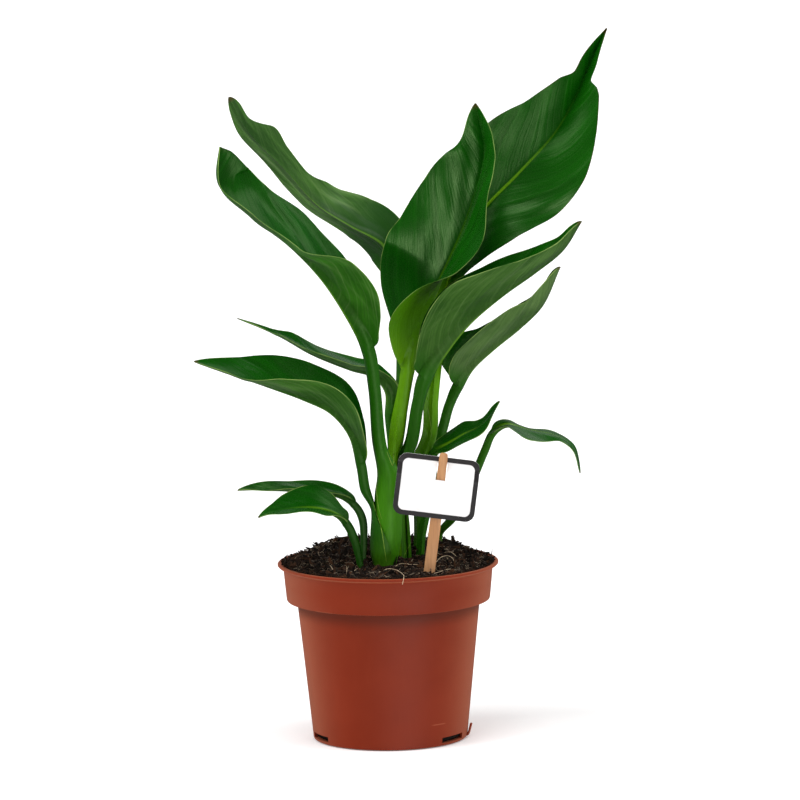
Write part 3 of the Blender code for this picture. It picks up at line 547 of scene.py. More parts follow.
def add_mesh(name, vertices, faces, material, sharp=40):
    """Object from points in metres, with its faces turned outwards."""
    mesh = bpy.data.meshes.new(name)
    mesh.from_pydata([tuple(p) for p in vertices], [], faces)
    edit = bmesh.new()
    edit.from_mesh(mesh)
    bmesh.ops.recalc_face_normals(edit, faces=edit.faces)
    if edit.calc_volume(signed=True) < 0:
        bmesh.ops.reverse_faces(edit, faces=edit.faces)
    edit.to_mesh(mesh)
    edit.free()
    mesh.materials.append(material)
    obj = bpy.data.objects.new(name, mesh)
    bpy.context.scene.collection.objects.link(obj)
    mesh.shade_smooth()
    if sharp:
        mesh.set_sharp_from_angle(angle=math.radians(sharp))
    return obj


def cut(target, name, corners, faces):
    """Takes a closed shape, given in millimetres, out of a mesh for good."""
    mesh = bpy.data.meshes.new(name)
    mesh.from_pydata([tuple(Vector(c) * MM) for c in corners], [], faces)
    edit = bmesh.new()
    edit.from_mesh(mesh)
    bmesh.ops.recalc_face_normals(edit, faces=edit.faces)
    edit.to_mesh(mesh)
    edit.free()
    cutter = bpy.data.objects.new(name, mesh)
    bpy.context.scene.collection.objects.link(cutter)
    boolean = target.modifiers.new(name, "BOOLEAN")
    boolean.operation = "DIFFERENCE"
    boolean.solver = "EXACT"
    boolean.object = cutter
    bpy.context.view_layer.update()
    graph = bpy.context.evaluated_depsgraph_get()
    made = bpy.data.meshes.new_from_object(target.evaluated_get(graph))
    target.modifiers.clear()
    old = target.data
    target.data = made
    bpy.data.meshes.remove(old)
    bpy.data.objects.remove(cutter, do_unlink=True)


def revolve(profile, sides):
    """Points and faces of a closed profile turned about Z, its ends on the axis."""
    vertices = [(0, 0, profile[0][1]), (0, 0, profile[-1][1])]
    inner = profile[1:-1]
    for r, z in inner:
        for k in range(sides):
            angle = 2 * math.pi * k / sides
            vertices.append((r * math.cos(angle), r * math.sin(angle), z))
    faces = []
    for k in range(sides):
        n = (k + 1) % sides
        faces.append((0, 2 + n, 2 + k))
        for i in range(len(inner) - 1):
            a, b = 2 + i * sides, 2 + (i + 1) * sides
            faces.append((a + k, a + n, b + n, b + k))
        last = 2 + (len(inner) - 1) * sides
        faces.append((last + k, last + n, 1))
    return vertices, faces


def turned_box(centre, size, turn):
    corners = [
        Vector(centre) + turn @ Vector((x * size[0] / 2, y * size[1] / 2, z * size[2] / 2))
        for x in (-1, 1) for y in (-1, 1) for z in (-1, 1)
    ]
    faces = [(0, 1, 3, 2), (4, 6, 7, 5), (0, 4, 5, 1), (2, 3, 7, 6), (0, 2, 6, 4), (1, 5, 7, 3)]
    return corners, faces


# Materials


LEAF_LOOKS = {
    "leaf_centre": dict(stem=(94, 150, 6), foot=(84, 140, 8), base_under=(68, 122, 4)),
    "leaf_upper_right": dict(stem=(96, 156, 8), foot=(50, 100, 6), rib=1.0, edge=(84, 56, 30)),
    "leaf_upper_left_front": dict(stem=(28, 88, 4), foot=(58, 122, 6), lower=(42, 104, 12), dried=0.1),
    "leaf_upper_left_back": dict(base_under=(18, 66, 6), lower=(54, 98, 30), painted_fold_strength=0.75),
    "leaf_mid_left": dict(stem=(24, 80, 4), foot=(96, 150, 14)),
    "leaf_right_lower": dict(lower=(74, 106, 50)),
    "leaf_right_upper": dict(lower=(50, 90, 26)),
    "leaf_small_right": dict(rib=0.6),
    "leaf_drooping_right": dict(stem=(40, 96, 8), foot=(56, 104, 12), rib=0.6),
    "leaf_low_left_front": dict(stem=(22, 72, 6), foot=(92, 118, 34)),
    "leaf_low_left_back": dict(stem=(22, 72, 6), foot=(80, 112, 30)),
}

# Pale margins of the leaf bases on the trunk, as x and z of points seen from the front, in millimetres
SHEATH_LINES = (
    ((0.4, 159.8), (2.0, 155.5), (3.3, 152.6), (4.0, 155.0), (4.5, 158.0)),
    ((-7.5, 132.9), (-6.0, 127.1), (-3.4, 119.1), (-1.8, 108.3), (-0.8, 100.4)),
    ((22.0, 182.0), (23.6, 175.6), (24.4, 168.9), (24.6, 163.4)),
    ((8.8, 98.4), (10.4, 101.4), (12.2, 104.8), (13.6, 108.0)),
    ((-4.6, 150.0), (-5.4, 141.0), (-4.8, 131.0), (-3.0, 124.0)),
)


class Nodes:
    """Short way to write a material's node tree."""

    def __init__(self, name, roughness=0.5, **sockets):
        self.material = bpy.data.materials.new(name)
        self.material.use_nodes = True
        self.tree = self.material.node_tree
        self.shader = self.tree.nodes["Principled BSDF"]
        self.shader.inputs["Roughness"].default_value = roughness
        for key, value in sockets.items():
            self.shader.inputs[key.replace("_", " ")].default_value = value

    def add(self, kind, inputs=None, **settings):
        node = self.tree.nodes.new("ShaderNode" + kind)
        for key, value in settings.items():
            setattr(node, key, value)
        for key, value in (inputs or {}).items():
            self.put(node.inputs[key], value)
        return node

    def put(self, socket, value):
        if isinstance(value, bpy.types.NodeSocket):
            self.tree.links.new(value, socket)
        elif isinstance(value, tuple) and len(value) == 3 and socket.type == "RGBA":
            socket.default_value = (*value, 1)
        else:
            socket.default_value = value

    def math(self, operation, a, b=0.0, c=0.0, clamp=False):
        return self.add("Math", {0: a, 1: b, 2: c}, operation=operation, use_clamp=clamp).outputs[0]

    def ramp(self, value, low, high, to_low=0.0, to_high=1.0, smooth=True):
        node = self.add("MapRange", {0: value, 1: low, 2: high, 3: to_low, 4: to_high})
        node.interpolation_type = "SMOOTHSTEP" if smooth else "LINEAR"
        return node.outputs[0]

    def mix(self, share, a, b, blend="MIX"):
        node = self.add("Mix", data_type="RGBA", blend_type=blend)
        self.put(node.inputs[0], share)
        self.put(node.inputs[6], a)
        self.put(node.inputs[7], b)
        return node.outputs[2]

    def noise(self, vector, scale, detail=4, rough=0.55):
        node = self.add("TexNoise", {"Vector": vector, "Scale": scale, "Detail": detail, "Roughness": rough})
        return node.outputs["Fac"]

    def bump(self, height, distance, strength=1.0, normal=None):
        node = self.add("Bump", {"Height": height, "Distance": distance, "Strength": strength})
        if normal is not None:
            self.put(node.inputs["Normal"], normal)
        return node.outputs[0]

    def out(self, name, value):
        self.put(self.shader.inputs[name], value)


def srgb(r, g, b):
    """Linear colour of an 8-bit display colour."""
    return tuple((c / 255 / 12.92) if c <= 10 else ((c / 255 + 0.055) / 1.055)**2.4 for c in (r, g, b))


def leaf_material(name, stem=(34, 92, 8), foot=(52, 108, 8), rib=0.35, base_under=None, lower=(50, 98, 24),
                  edge=(150, 178, 96), dried=0.75, painted_fold_strength=0.3):
    """Waxy upper side, duller lower side, stalk and base, told apart by the mesh's own attributes."""
    n = Nodes(name, 0.35, Specular_IOR_Level=0.22, Specular_Tint=(0.62, 1.0, 0.42, 1.0))
    place = n.add("Attribute", attribute_name="leaf_place").outputs["Vector"]
    form = n.add("Attribute", attribute_name="leaf_form").outputs["Vector"]
    p = n.add("SeparateXYZ", {0: place}).outputs
    f = n.add("SeparateXYZ", {0: form}).outputs
    far, across, side = p[0], p[1], p[2]
    up, m, half = f[0], f[1], f[2]
    reach = n.math("ABSOLUTE", across)
    flat = n.add("CombineXYZ", {0: far, 1: across, 2: n.math("MULTIPLY", side, 40.0)}).outputs[0]
    # side veins leave the rib at a sharp angle and bend towards the tip
    bow = n.math("MULTIPLY", n.math("MULTIPLY", reach, m), 0.9)
    slant = n.math("SUBTRACT", far, n.math("ADD", n.math("MULTIPLY", reach, 1.15), bow))
    wander = n.noise(flat, 0.045, 2)
    slant = n.math("ADD", slant, n.math("MULTIPLY", wander, 7.0))
    streak_at = n.add("CombineXYZ", {0: slant, 1: n.math("MULTIPLY", reach, 0.04), 2: side}).outputs[0]
    veins = n.noise(streak_at, 0.85, 3, 0.6)
    bands = n.noise(streak_at, 0.17, 3, 0.5)
    blotch = n.noise(flat, 0.03, 3)
    fine = n.noise(flat, 1.6, 3)
    # upper side
    upper = n.mix(n.ramp(bands, 0.3, 0.7), srgb(5, 68, 1), srgb(10, 79, 3))
    upper = n.mix(n.ramp(veins, 0.5, 0.8, 0, 0.35), upper, srgb(22, 94, 8))
    upper = n.mix(n.ramp(blotch, 0.45, 0.75, 0, 0.4), upper, srgb(16, 88, 5))
    # lower side
    under = n.mix(n.ramp(bands, 0.3, 0.7), srgb(*lower), srgb(lower[0] + 14, lower[1] + 12, lower[2] + 12))
    under = n.mix(n.ramp(veins, 0.4, 0.7, 0, 0.45), under, srgb(30, 68, 14))
    under = n.mix(n.ramp(blotch, 0.4, 0.65, 0, 0.5), under, srgb(20, 64, 6))
    # painted shade and highlight of lengthwise folds: darker streaks in the folds, paler ones on their ridges
    lengthwise = n.add("CombineXYZ", {0: n.math("MULTIPLY", far, 0.012), 1: n.math("MULTIPLY", across, 0.13)}).outputs[0]
    painted_fold_shading = n.noise(lengthwise, 1.0, 2)
    under = n.mix(n.ramp(painted_fold_shading, 0.5, 0.68, 0, painted_fold_strength), under, srgb(14, 54, 4))
    under = n.mix(n.ramp(painted_fold_shading, 0.46, 0.34, 0, 0.7 * painted_fold_strength), under, srgb(98, 132, 70))
    pale = n.noise(streak_at, 0.32, 2)
    under = n.mix(n.ramp(pale, 0.52, 0.7, 0, 0.4), under, srgb(92, 124, 66))
    # painted shade: the lower side darker near the rib
    under = n.mix(n.ramp(m, 0.0, 0.55, 0.45, 0), under, srgb(26, 66, 10))
    if base_under:
        under = n.mix(n.ramp(up, 0.22, 0.42, 1, 0), under, srgb(*base_under))
    blade = n.mix(side, under, upper)
    # rib
    rib_width = n.ramp(up, 0.0, 1.0, 1.3, 0.4, smooth=False)
    on_rib = n.ramp(n.math("DIVIDE", reach, rib_width), 0.5, 1.2, 1, 0)
    rib_colour = n.mix(n.ramp(up, 0.3, 0.85), srgb(118, 172, 24), srgb(46, 104, 16))
    blade = n.mix(n.math("MULTIPLY", on_rib, n.ramp(up, 0.35, 0.85, rib, 0.1 * rib)), blade, rib_colour)
    # stalk
    along = n.add("CombineXYZ", {0: n.math("MULTIPLY", far, 0.04), 1: across, 2: side}).outputs[0]
    streaks = n.noise(along, 2.0, 4)
    stalk = n.mix(n.ramp(far, -95, -35), srgb(*foot), srgb(*stem))
    stalk = n.mix(n.ramp(streaks, 0.45, 0.75, 0, 0.28), stalk, srgb(16, 66, 3))
    stalk = n.mix(n.ramp(streaks, 0.4, 0.25, 0, 0.14), stalk, srgb(110, 160, 40))
    colour = n.mix(n.ramp(up, 0.0, 0.16), stalk, blade)
    # thin pale margin in places, and a dry tip
    inset = n.math("MULTIPLY", n.math("SUBTRACT", 1.0, m), half)
    patchy = n.ramp(n.noise(flat, 0.06, 2), 0.35, 0.6)
    margin = n.math("MULTIPLY", n.ramp(inset, 0.14, 0.4, 0.8, 0), patchy)
    margin = n.math("MULTIPLY", margin, n.ramp(up, 0.01, 0.06, 0.0, 1.0))
    colour = n.mix(margin, colour, srgb(*edge))
    dry = n.ramp(n.math("ADD", up, n.math("MULTIPLY", n.math("SUBTRACT", fine, 0.5), 0.02)), 0.975, 0.992)
    colour = n.mix(n.math("MULTIPLY", dry, dried), colour, srgb(70, 44, 20))
    n.out("Base Color", colour)
    rough = n.add("Mix", data_type="FLOAT")
    n.put(rough.inputs[0], side)
    n.put(rough.inputs[2], n.ramp(fine, 0.3, 0.8, 0.4, 0.5))
    n.put(rough.inputs[3], n.ramp(fine, 0.3, 0.8, 0.25, 0.33))
    n.out("Roughness", rough.outputs[0])
    relief = n.math("ADD", n.math("MULTIPLY", veins, 0.5), n.math("MULTIPLY", bands, 1.5))
    relief = n.math("ADD", relief, n.math("MULTIPLY", fine, 0.2))
    n.out("Normal", n.bump(relief, 0.00022, 1.0))
    return n.material


def sheath_material():
    n = Nodes("sheath_margin", 0.45, Specular_IOR_Level=0.2)
    where = n.add("TexCoord").outputs["Object"]
    grain = n.noise(where, 500, 3)
    n.out("Base Color", n.mix(n.ramp(grain, 0.35, 0.65), srgb(104, 146, 34), srgb(138, 172, 66)))
    return n.material


def soil_material(name, tint=False):
    n = Nodes(name, 0.95, Specular_IOR_Level=0.15)
    where = n.add("TexCoord").outputs["Object"]
    grain = n.noise(where, 900, 4, 0.6)
    clump = n.noise(where, 160, 3)
    base = n.mix(n.ramp(clump, 0.3, 0.7), srgb(14, 9, 6), srgb(32, 21, 14))
    colour = n.mix(n.ramp(grain, 0.4, 0.8, 0, 0.5), base, srgb(46, 31, 20))
    if tint:
        shade = n.add("Attribute", attribute_name="shade").outputs["Fac"]
        colour = n.mix(shade, colour, srgb(80, 52, 33))
    n.out("Base Color", colour)
    n.out("Normal", n.bump(grain, 0.0005))
    return n.material


def fibre_material():
    n = Nodes("fibre", 0.8)
    shade = n.add("Attribute", attribute_name="shade").outputs["Fac"]
    where = n.add("TexCoord").outputs["Object"]
    grain = n.noise(where, 1500, 3)
    colour = n.mix(shade, srgb(34, 21, 12), srgb(214, 188, 156))
    colour = n.mix(n.ramp(grain, 0.4, 0.7, 0, 0.35), colour, srgb(46, 28, 16))
    n.out("Base Color", colour)
    n.out("Normal", n.bump(grain, 0.0001))
    return n.material


def pot_material():
    n = Nodes("pot_plastic_detail", 0.5, Specular_IOR_Level=0.12)
    where = n.add("TexCoord").outputs["Object"]
    grain = n.noise(where, 2600, 3)
    cloud = n.noise(where, 22, 3)
    stretched = n.add("Mapping", {"Vector": where, "Scale": (1.0, 1.0, 0.1)}).outputs[0]
    drag = n.noise(stretched, 240, 3)
    colour = n.mix(n.ramp(cloud, 0.35, 0.65), srgb(122, 37, 10), srgb(128, 41, 14))
    colour = n.mix(n.ramp(drag, 0.5, 0.85, 0, 0.12), colour, srgb(144, 56, 28))
    dust = n.noise(where, 620, 5, 0.7)
    colour = n.mix(n.ramp(dust, 0.66, 0.76, 0, 0.2), colour, srgb(88, 36, 22))
    # painted sheen: the plastic is made paler where it turns away from view, standing in for reflected light
    painted_sheen_share = n.add("LayerWeight", {"Blend": 0.5}).outputs["Facing"]
    colour = n.mix(n.ramp(painted_sheen_share, 0.15, 0.9, 0, 0.95), colour, srgb(158, 86, 60))
    p = n.add("SeparateXYZ", {0: where}).outputs
    # painted shade: a darker band just under the collar, where its overhang shades the wall
    painted_collar_shade = n.math("MULTIPLY", n.ramp(p[2], 0.0655, 0.0742), n.ramp(p[2], 0.0752, 0.0758, 1, 0))
    colour = n.mix(n.math("MULTIPLY", painted_collar_shade, 0.6), colour, srgb(78, 33, 18))
    # a short pale scratch low at the front right
    across = n.ramp(n.math("ABSOLUTE", n.math("SUBTRACT", p[2], 0.0125)), 0.00012, 0.00042, 1, 0)
    start, end = n.ramp(p[0], 0.0215, 0.0245), n.ramp(p[0], 0.0285, 0.0305, 1, 0)
    front = n.math("LESS_THAN", p[1], 0.0)
    scratch = n.math("MULTIPLY", n.math("MULTIPLY", across, front), n.math("MULTIPLY", start, end))
    colour = n.mix(n.math("MULTIPLY", scratch, 0.45), colour, srgb(176, 96, 68))
    n.out("Base Color", colour)
    n.out("Roughness", n.ramp(cloud, 0.3, 0.7, 0.46, 0.56))
    n.out("Normal", n.bump(grain, 0.00005))
    return n.material


def wood_material():
    n = Nodes("stick_wood_detail", 0.62)
    where = n.add("TexCoord").outputs["Object"]
    along = n.add("Mapping", {"Vector": where, "Rotation": (0, math.radians(-LABEL_LEAN), 0), "Scale": (1, 1, 0.06)})
    grain = n.noise(along.outputs[0], 1400, 4, 0.6)
    broad = n.noise(along.outputs[0], 300, 3)
    colour = n.mix(n.ramp(broad, 0.35, 0.65), srgb(178, 122, 70), srgb(194, 140, 88))
    colour = n.mix(n.ramp(grain, 0.45, 0.75, 0, 0.5), colour, srgb(146, 98, 58))
    n.out("Base Color", colour)
    n.out("Normal", n.bump(grain, 0.00012))
    return n.material


def card_material(name, light, dark):
    n = Nodes(name, 0.38, Specular_IOR_Level=0.12)
    where = n.add("TexCoord").outputs["Object"]
    cloud = n.noise(where, 90, 3)
    speck = n.noise(where, 1800, 3)
    n.out("Base Color", n.mix(n.ramp(cloud, 0.35, 0.65), srgb(*light), srgb(*dark)))
    n.out("Roughness", n.ramp(speck, 0.3, 0.7, 0.32, 0.44))
    n.out("Normal", n.bump(speck, 0.00002))
    return n.material


# Pot and soil


def build_pot():
    profile = [
        (0, 0), (FOOT_R - 2, 0), (FOOT_R, 0), (FOOT_R + 0.6, 0.12), (BASE_R - 0.1, 0.4), (BASE_R, 0.9),
    ]
    profile += [
        (BASE_R + (BODY_TOP_R - BASE_R) * t, 0.9 + (COLLAR_Z - 1.5) * t) for t in np.linspace(0.02, 1, 18)
    ]
    profile += [
        (BODY_TOP_R + 0.3, COLLAR_Z - 0.25), (BODY_TOP_R + 0.9, COLLAR_Z - 0.05), (COLLAR_R - 0.8, COLLAR_Z),
        (COLLAR_R - 0.25, COLLAR_Z + 0.15), (COLLAR_R, COLLAR_Z + 0.7), (COLLAR_R + 0.8, COLLAR_Z + 9),
        (COLLAR_TOP_R - 0.1, RIM_Z - 3.0), (COLLAR_TOP_R + 0.3, RIM_Z - 2.3), (LIP_R - 1.4, RIM_Z - 1.9),
        (LIP_R - 0.5, RIM_Z - 1.6), (LIP_R, RIM_Z - 1.1), (LIP_R, RIM_Z - 0.5), (LIP_R - 0.4, RIM_Z - 0.1),
        (LIP_R - 1.0, RIM_Z), (COLLAR_TOP_R + 0.6, RIM_Z - 0.15), (COLLAR_TOP_R - 0.4, RIM_Z - 0.7),
        (COLLAR_TOP_R - WALL, RIM_Z - 1.9), (COLLAR_R - WALL, COLLAR_Z + WALL + 0.4),
        (BODY_TOP_R - WALL, COLLAR_Z - 0.8), (BASE_R - WALL, FOOT_THICK + 0.8),
        (BASE_R - WALL - 0.8, FOOT_THICK), (0, FOOT_THICK),
    ]
    vertices, faces = revolve(profile, POT_SIDES)
    warped = []
    for x, y, z in vertices:
        angle = math.atan2(y, x)
        sway = 1 + 0.0016 * math.sin(3 * angle + 0.8) * (z / RIM_Z) + 0.0007 * math.sin(7 * angle + z * 0.05)
        dent = 0.12 * noise.noise(Vector((3 * math.cos(angle), 3 * math.sin(angle), z * 0.03)))
        grow = sway + dent * min(z / 60, 1) / 55
        warped.append((x * grow * MM, y * grow * MM, z * MM))
    pot = add_mesh("pot_piece", warped, faces, pot_material(), sharp=50)
    for k, angle in enumerate(DRAIN_ANGLES):
        turn = Matrix.Rotation(math.radians(angle), 3, "Z")
        centre = turn @ Vector((BASE_R, 0, DRAIN_Z))
        cut(pot, f"drain_{k}", *turned_box(centre, DRAIN_SIZE, turn))
    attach(pot, "root")
    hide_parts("pot")


def build_pot_tab(material):
    """A thin flap of plastic, bent out beside the foot at the right."""
    edit = bmesh.new()
    rows = []
    for t in np.linspace(0, 1, 9):
        angle = math.radians(-8 + 3 * t)
        r = BASE_R - 0.3 + 1.9 * t**0.7
        z = 0.8 + 6.2 * t
        wide = 1.9 * (1 - 0.45 * t)
        out = Vector((math.cos(angle), math.sin(angle), 0))
        side = Vector((-out.y, out.x, 0))
        centre = out * r + Vector((0, 0, z))
        rows.append([edit.verts.new((centre + side * wide * w + out * d) * MM)
                     for w, d in ((-1, 0), (0, 0.5), (1, 0), (1, 0.8), (0, 1.3), (-1, 0.8))])
    for low, high in zip(rows, rows[1:]):
        for k in range(6):
            n = (k + 1) % 6
            edit.faces.new((low[k], low[n], high[n], high[k]))
    edit.faces.new(rows[0][::-1])
    edit.faces.new(rows[-1])
    points = [v.co.copy() for v in edit.verts]
    edit.verts.index_update()
    polygons = [tuple(v.index for v in f.verts) for f in edit.faces]
    edit.free()
    tab = add_mesh("pot_tab", points, polygons, material, sharp=40)
    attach(tab, "root")


def soil_height(x, y):
    """Loose peat, heaped behind the stems and settled at the wall."""
    r = math.hypot(x, y)
    rise = min(max((y - 5) / 35, 0), 1)
    settle = 1 - min(max((r - 46) / 8.5, 0), 1)**2
    heap = 1.2 * (1 - (r / 56)**3) + 6 * rise * rise * (3 - 2 * rise)
    clods = 1.1 * noise.noise(Vector((x, y, 3)) * 0.11) + 0.8 * noise.noise(Vector((x, y, 9)) * 0.27)
    return SOIL_EDGE_Z + 0.5 + heap * settle + clods * min(1, (54.5 - r) / 6)


def build_soil():
    wall_r = COLLAR_TOP_R - WALL - GAP - 0.15
    wall = [
        (wall_r, SOIL_EDGE_Z - 1.2), (COLLAR_R - WALL - GAP, COLLAR_Z + WALL + 0.8),
        (BODY_TOP_R - WALL - GAP, COLLAR_Z - 0.8), (BASE_R - WALL - GAP, FOOT_THICK + 1.2),
        (BASE_R - WALL - GAP - 0.9, FOOT_THICK + GAP),
    ]
    sides, rings = 200, 64
    vertices = [(0, 0, soil_height(0, 0)), (0, 0, FOOT_THICK + GAP)]
    for i in range(1, rings + 1):
        r = wall_r * i / rings
        for k in range(sides):
            angle = 2 * math.pi * (k + 0.5 * (i % 2)) / sides
            x, y = r * math.cos(angle), r * math.sin(angle)
            rough = 0.55 * noise.noise(Vector((x, y, 1)) * 0.9) + 0.35 * noise.noise(Vector((x, y, 2)) * 2.1)
            vertices.append((x, y, soil_height(x, y) + rough * min(1, (wall_r - r) / 3)))
    for r, z in wall:
        for k in range(sides):
            angle = 2 * math.pi * k / sides
            vertices.append((r * math.cos(angle), r * math.sin(angle), z))
    faces = []
    total = rings + len(wall)
    for k in range(sides):
        n = (k + 1) % sides
        faces.append((0, 2 + k, 2 + n))
        for i in range(total - 1):
            a, b = 2 + i * sides, 2 + (i + 1) * sides
            faces.append((a + k, b + k, b + n, a + n))
        last = 2 + (total - 1) * sides
        faces.append((last + k, 1, last + n))
    soil = add_mesh("soil_piece", [(x * MM, y * MM, z * MM) for x, y, z in vertices], faces,
                    soil_material("soil_bed"), sharp=None)
    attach(soil, "root")
    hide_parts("soil")


def chunk_shape(level):
    """Unit lump: points and triangles."""
    edit = bmesh.new()
    bmesh.ops.create_icosphere(edit, subdivisions=level, radius=1)
    edit.verts.index_update()
    points = np.array([v.co for v in edit.verts])
    faces = np.array([[v.index for v in f.verts] for f in edit.faces])
    edit.free()
    return points, faces


def build_crumbs(rng):
    """Shards and crumbs of peat lying on the soil, each a little different in shape and shade."""
    small, large = chunk_shape(1), chunk_shape(2)
    parts, faces, shades, base = [], [], [], 0
    for k in range(SHARD_COUNT + RING_COUNT):
        r = 57.5 * math.sqrt(rng.random())
        angle = rng.random() * 2 * math.pi
        if k >= SHARD_COUNT:
            r = 54.8 + 3.2 * rng.random()
        x, y = r * math.cos(angle), r * math.sin(angle)
        size = 0.3 + 1.35 * rng.random()**3.2
        if r > 54.5:
            size = min(size, 0.45 + 0.4 * rng.random())
        points, tris = large if size > 1.0 else small
        squash = np.array([1 + 2.2 * rng.random()**1.5, 0.35 + 0.45 * rng.random(), 0.22 + 0.4 * rng.random()])
        lumps = 1 + 0.42 * rng.standard_normal(len(points)).clip(-1.3, 1.3) * 0.7
        turn = np.array(Matrix.Rotation(rng.random() * 6.28, 3, Vector(rng.standard_normal(3)).normalized()))
        made = (points * lumps[:, None] * squash * size) @ turn.T
        if r > 54.5:
            z = RIM_Z - 0.9 + (r - 54.5) * 0.35 + size * 0.5
        else:
            z = soil_height(x, y) + size * (0.1 + 0.5 * rng.random())
        made += (x, y, z)
        far = np.hypot(made[:, 0], made[:, 1])
        made[:, :2] *= np.minimum(1, 58.6 / np.maximum(far, 1e-6))[:, None]
        parts.append(made)
        faces.append(tris + base)
        shades.append(np.full(len(points), max(0, rng.random()**3 - 0.12)))
        base += len(points)
    crumbs = add_mesh("soil_crumbs", np.concatenate(parts) * MM, np.concatenate(faces).tolist(),
                      soil_material("soil_crumb", tint=True), sharp=25)
    made = crumbs.data.attributes.new("shade", "FLOAT", "POINT")
    made.data.foreach_set("value", np.concatenate(shades))
    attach(crumbs, "root")


def tube(points, radii, sides):
    """Points and faces of a thin closed strand."""
    points = np.array(points, float)
    ahead = np.gradient(points, axis=0)
    ahead /= np.linalg.norm(ahead, axis=1, keepdims=True)
    side = np.cross(ahead, (0.31, 0.17, 0.93))
    side /= np.linalg.norm(side, axis=1, keepdims=True)
    other = np.cross(ahead, side)
    turn = np.arange(sides) * 2 * math.pi / sides
    ring = (side[:, None] * np.cos(turn)[None, :, None] + other[:, None] * np.sin(turn)[None, :, None])
    vertices = (points[:, None] + ring * np.array(radii)[:, None, None]).reshape(-1, 3)
    faces = []
    for i in range(len(points) - 1):
        for k in range(sides):
            n = (k + 1) % sides
            faces.append((i * sides + k, i * sides + n, (i + 1) * sides + n, (i + 1) * sides + k))
    faces.append(tuple(range(sides))[::-1])
    faces.append(tuple(range((len(points) - 1) * sides, len(points) * sides)))
    return vertices, faces


# Pale roots lying at the front and right: ground points and heights above the soil, in millimetres
PALE_ROOTS = (
    ((-5, -42, 0.3), (0, -40, 1.0), (4, -42, 1.5), (6.5, -47, 1.6), (8, -52.5, 1.4), (8.4, -58.5, 1.3),
     (7.9, -60.1, -0.6), (7.6, -60.3, -2.2)),
    ((4, -29, 0.2), (6.6, -27, 1.4), (9.3, -26, 1.6), (12.5, -28, 1.0), (16.3, -27, 0.9), (19.5, -28.4, 0.2)),
    ((26, -12, 0.3), (29, -7, 1.6), (32.8, -4, 1.8), (35.5, -10, 1.4), (33.6, -19, 0.3)),
    ((24.6, -44, 0.3), (27.9, -42, 0.9), (31.2, -38, 1.2), (34, -30, 0.4)),
    ((30.8, 14, 0.4), (34, 11, 1.0), (37.7, 4, 0.4)),
    ((-32, -17, 0.3), (-30.7, -27, 0.9), (-28.5, -38, 0.3)),
    ((-23, -18, 0.2), (-22.1, -28, 0.8), (-22.3, -41, 0.2)),
    ((-18, -38, 0.2), (-16.7, -33, 0.9), (-13.6, -31, 0.3)),
)

# Dark bits of stem standing in the peat: foot, lean and length, in millimetres
TWIGS = (
    ((-53.6, 8), (-0.25, 0.1), 4.6, 0.34), ((-37, 34), (0.3, 0), 2.6, 0.5), ((-28, 43), (-0.1, 0), 4.4, 0.62),
    ((-24, 47), (0.5, 0), 2.6, 0.3), ((-45, 24), (-0.4, 0), 2.8, 0.3), ((-16, 49), (0.6, 0), 2.6, 0.4),
    ((34.5, 38), (0.45, 0), 5.2, 0.5), ((41, 34), (-0.5, 0), 2.4, 0.3), ((45, 29), (0.3, 0), 2.0, 0.55),
    ((56.0, 4), (0.12, 0), 7.0, 0.3), ((51, 18), (0.5, 0), 2.2, 0.25), ((8, 50), (0.2, 0), 2.6, 0.45),
    ((-55.5, 2), (-0.15, 0), 4.0, 0.3), ((-56.6, -4), (0.3, 0), 2.6, 0.26), ((-50, -12), (0.8, 0), 2.2, 0.25),
    ((22, 46), (-0.6, 0), 3.0, 0.35), ((-33, 38), (0.9, 0), 3.2, 0.28),
)


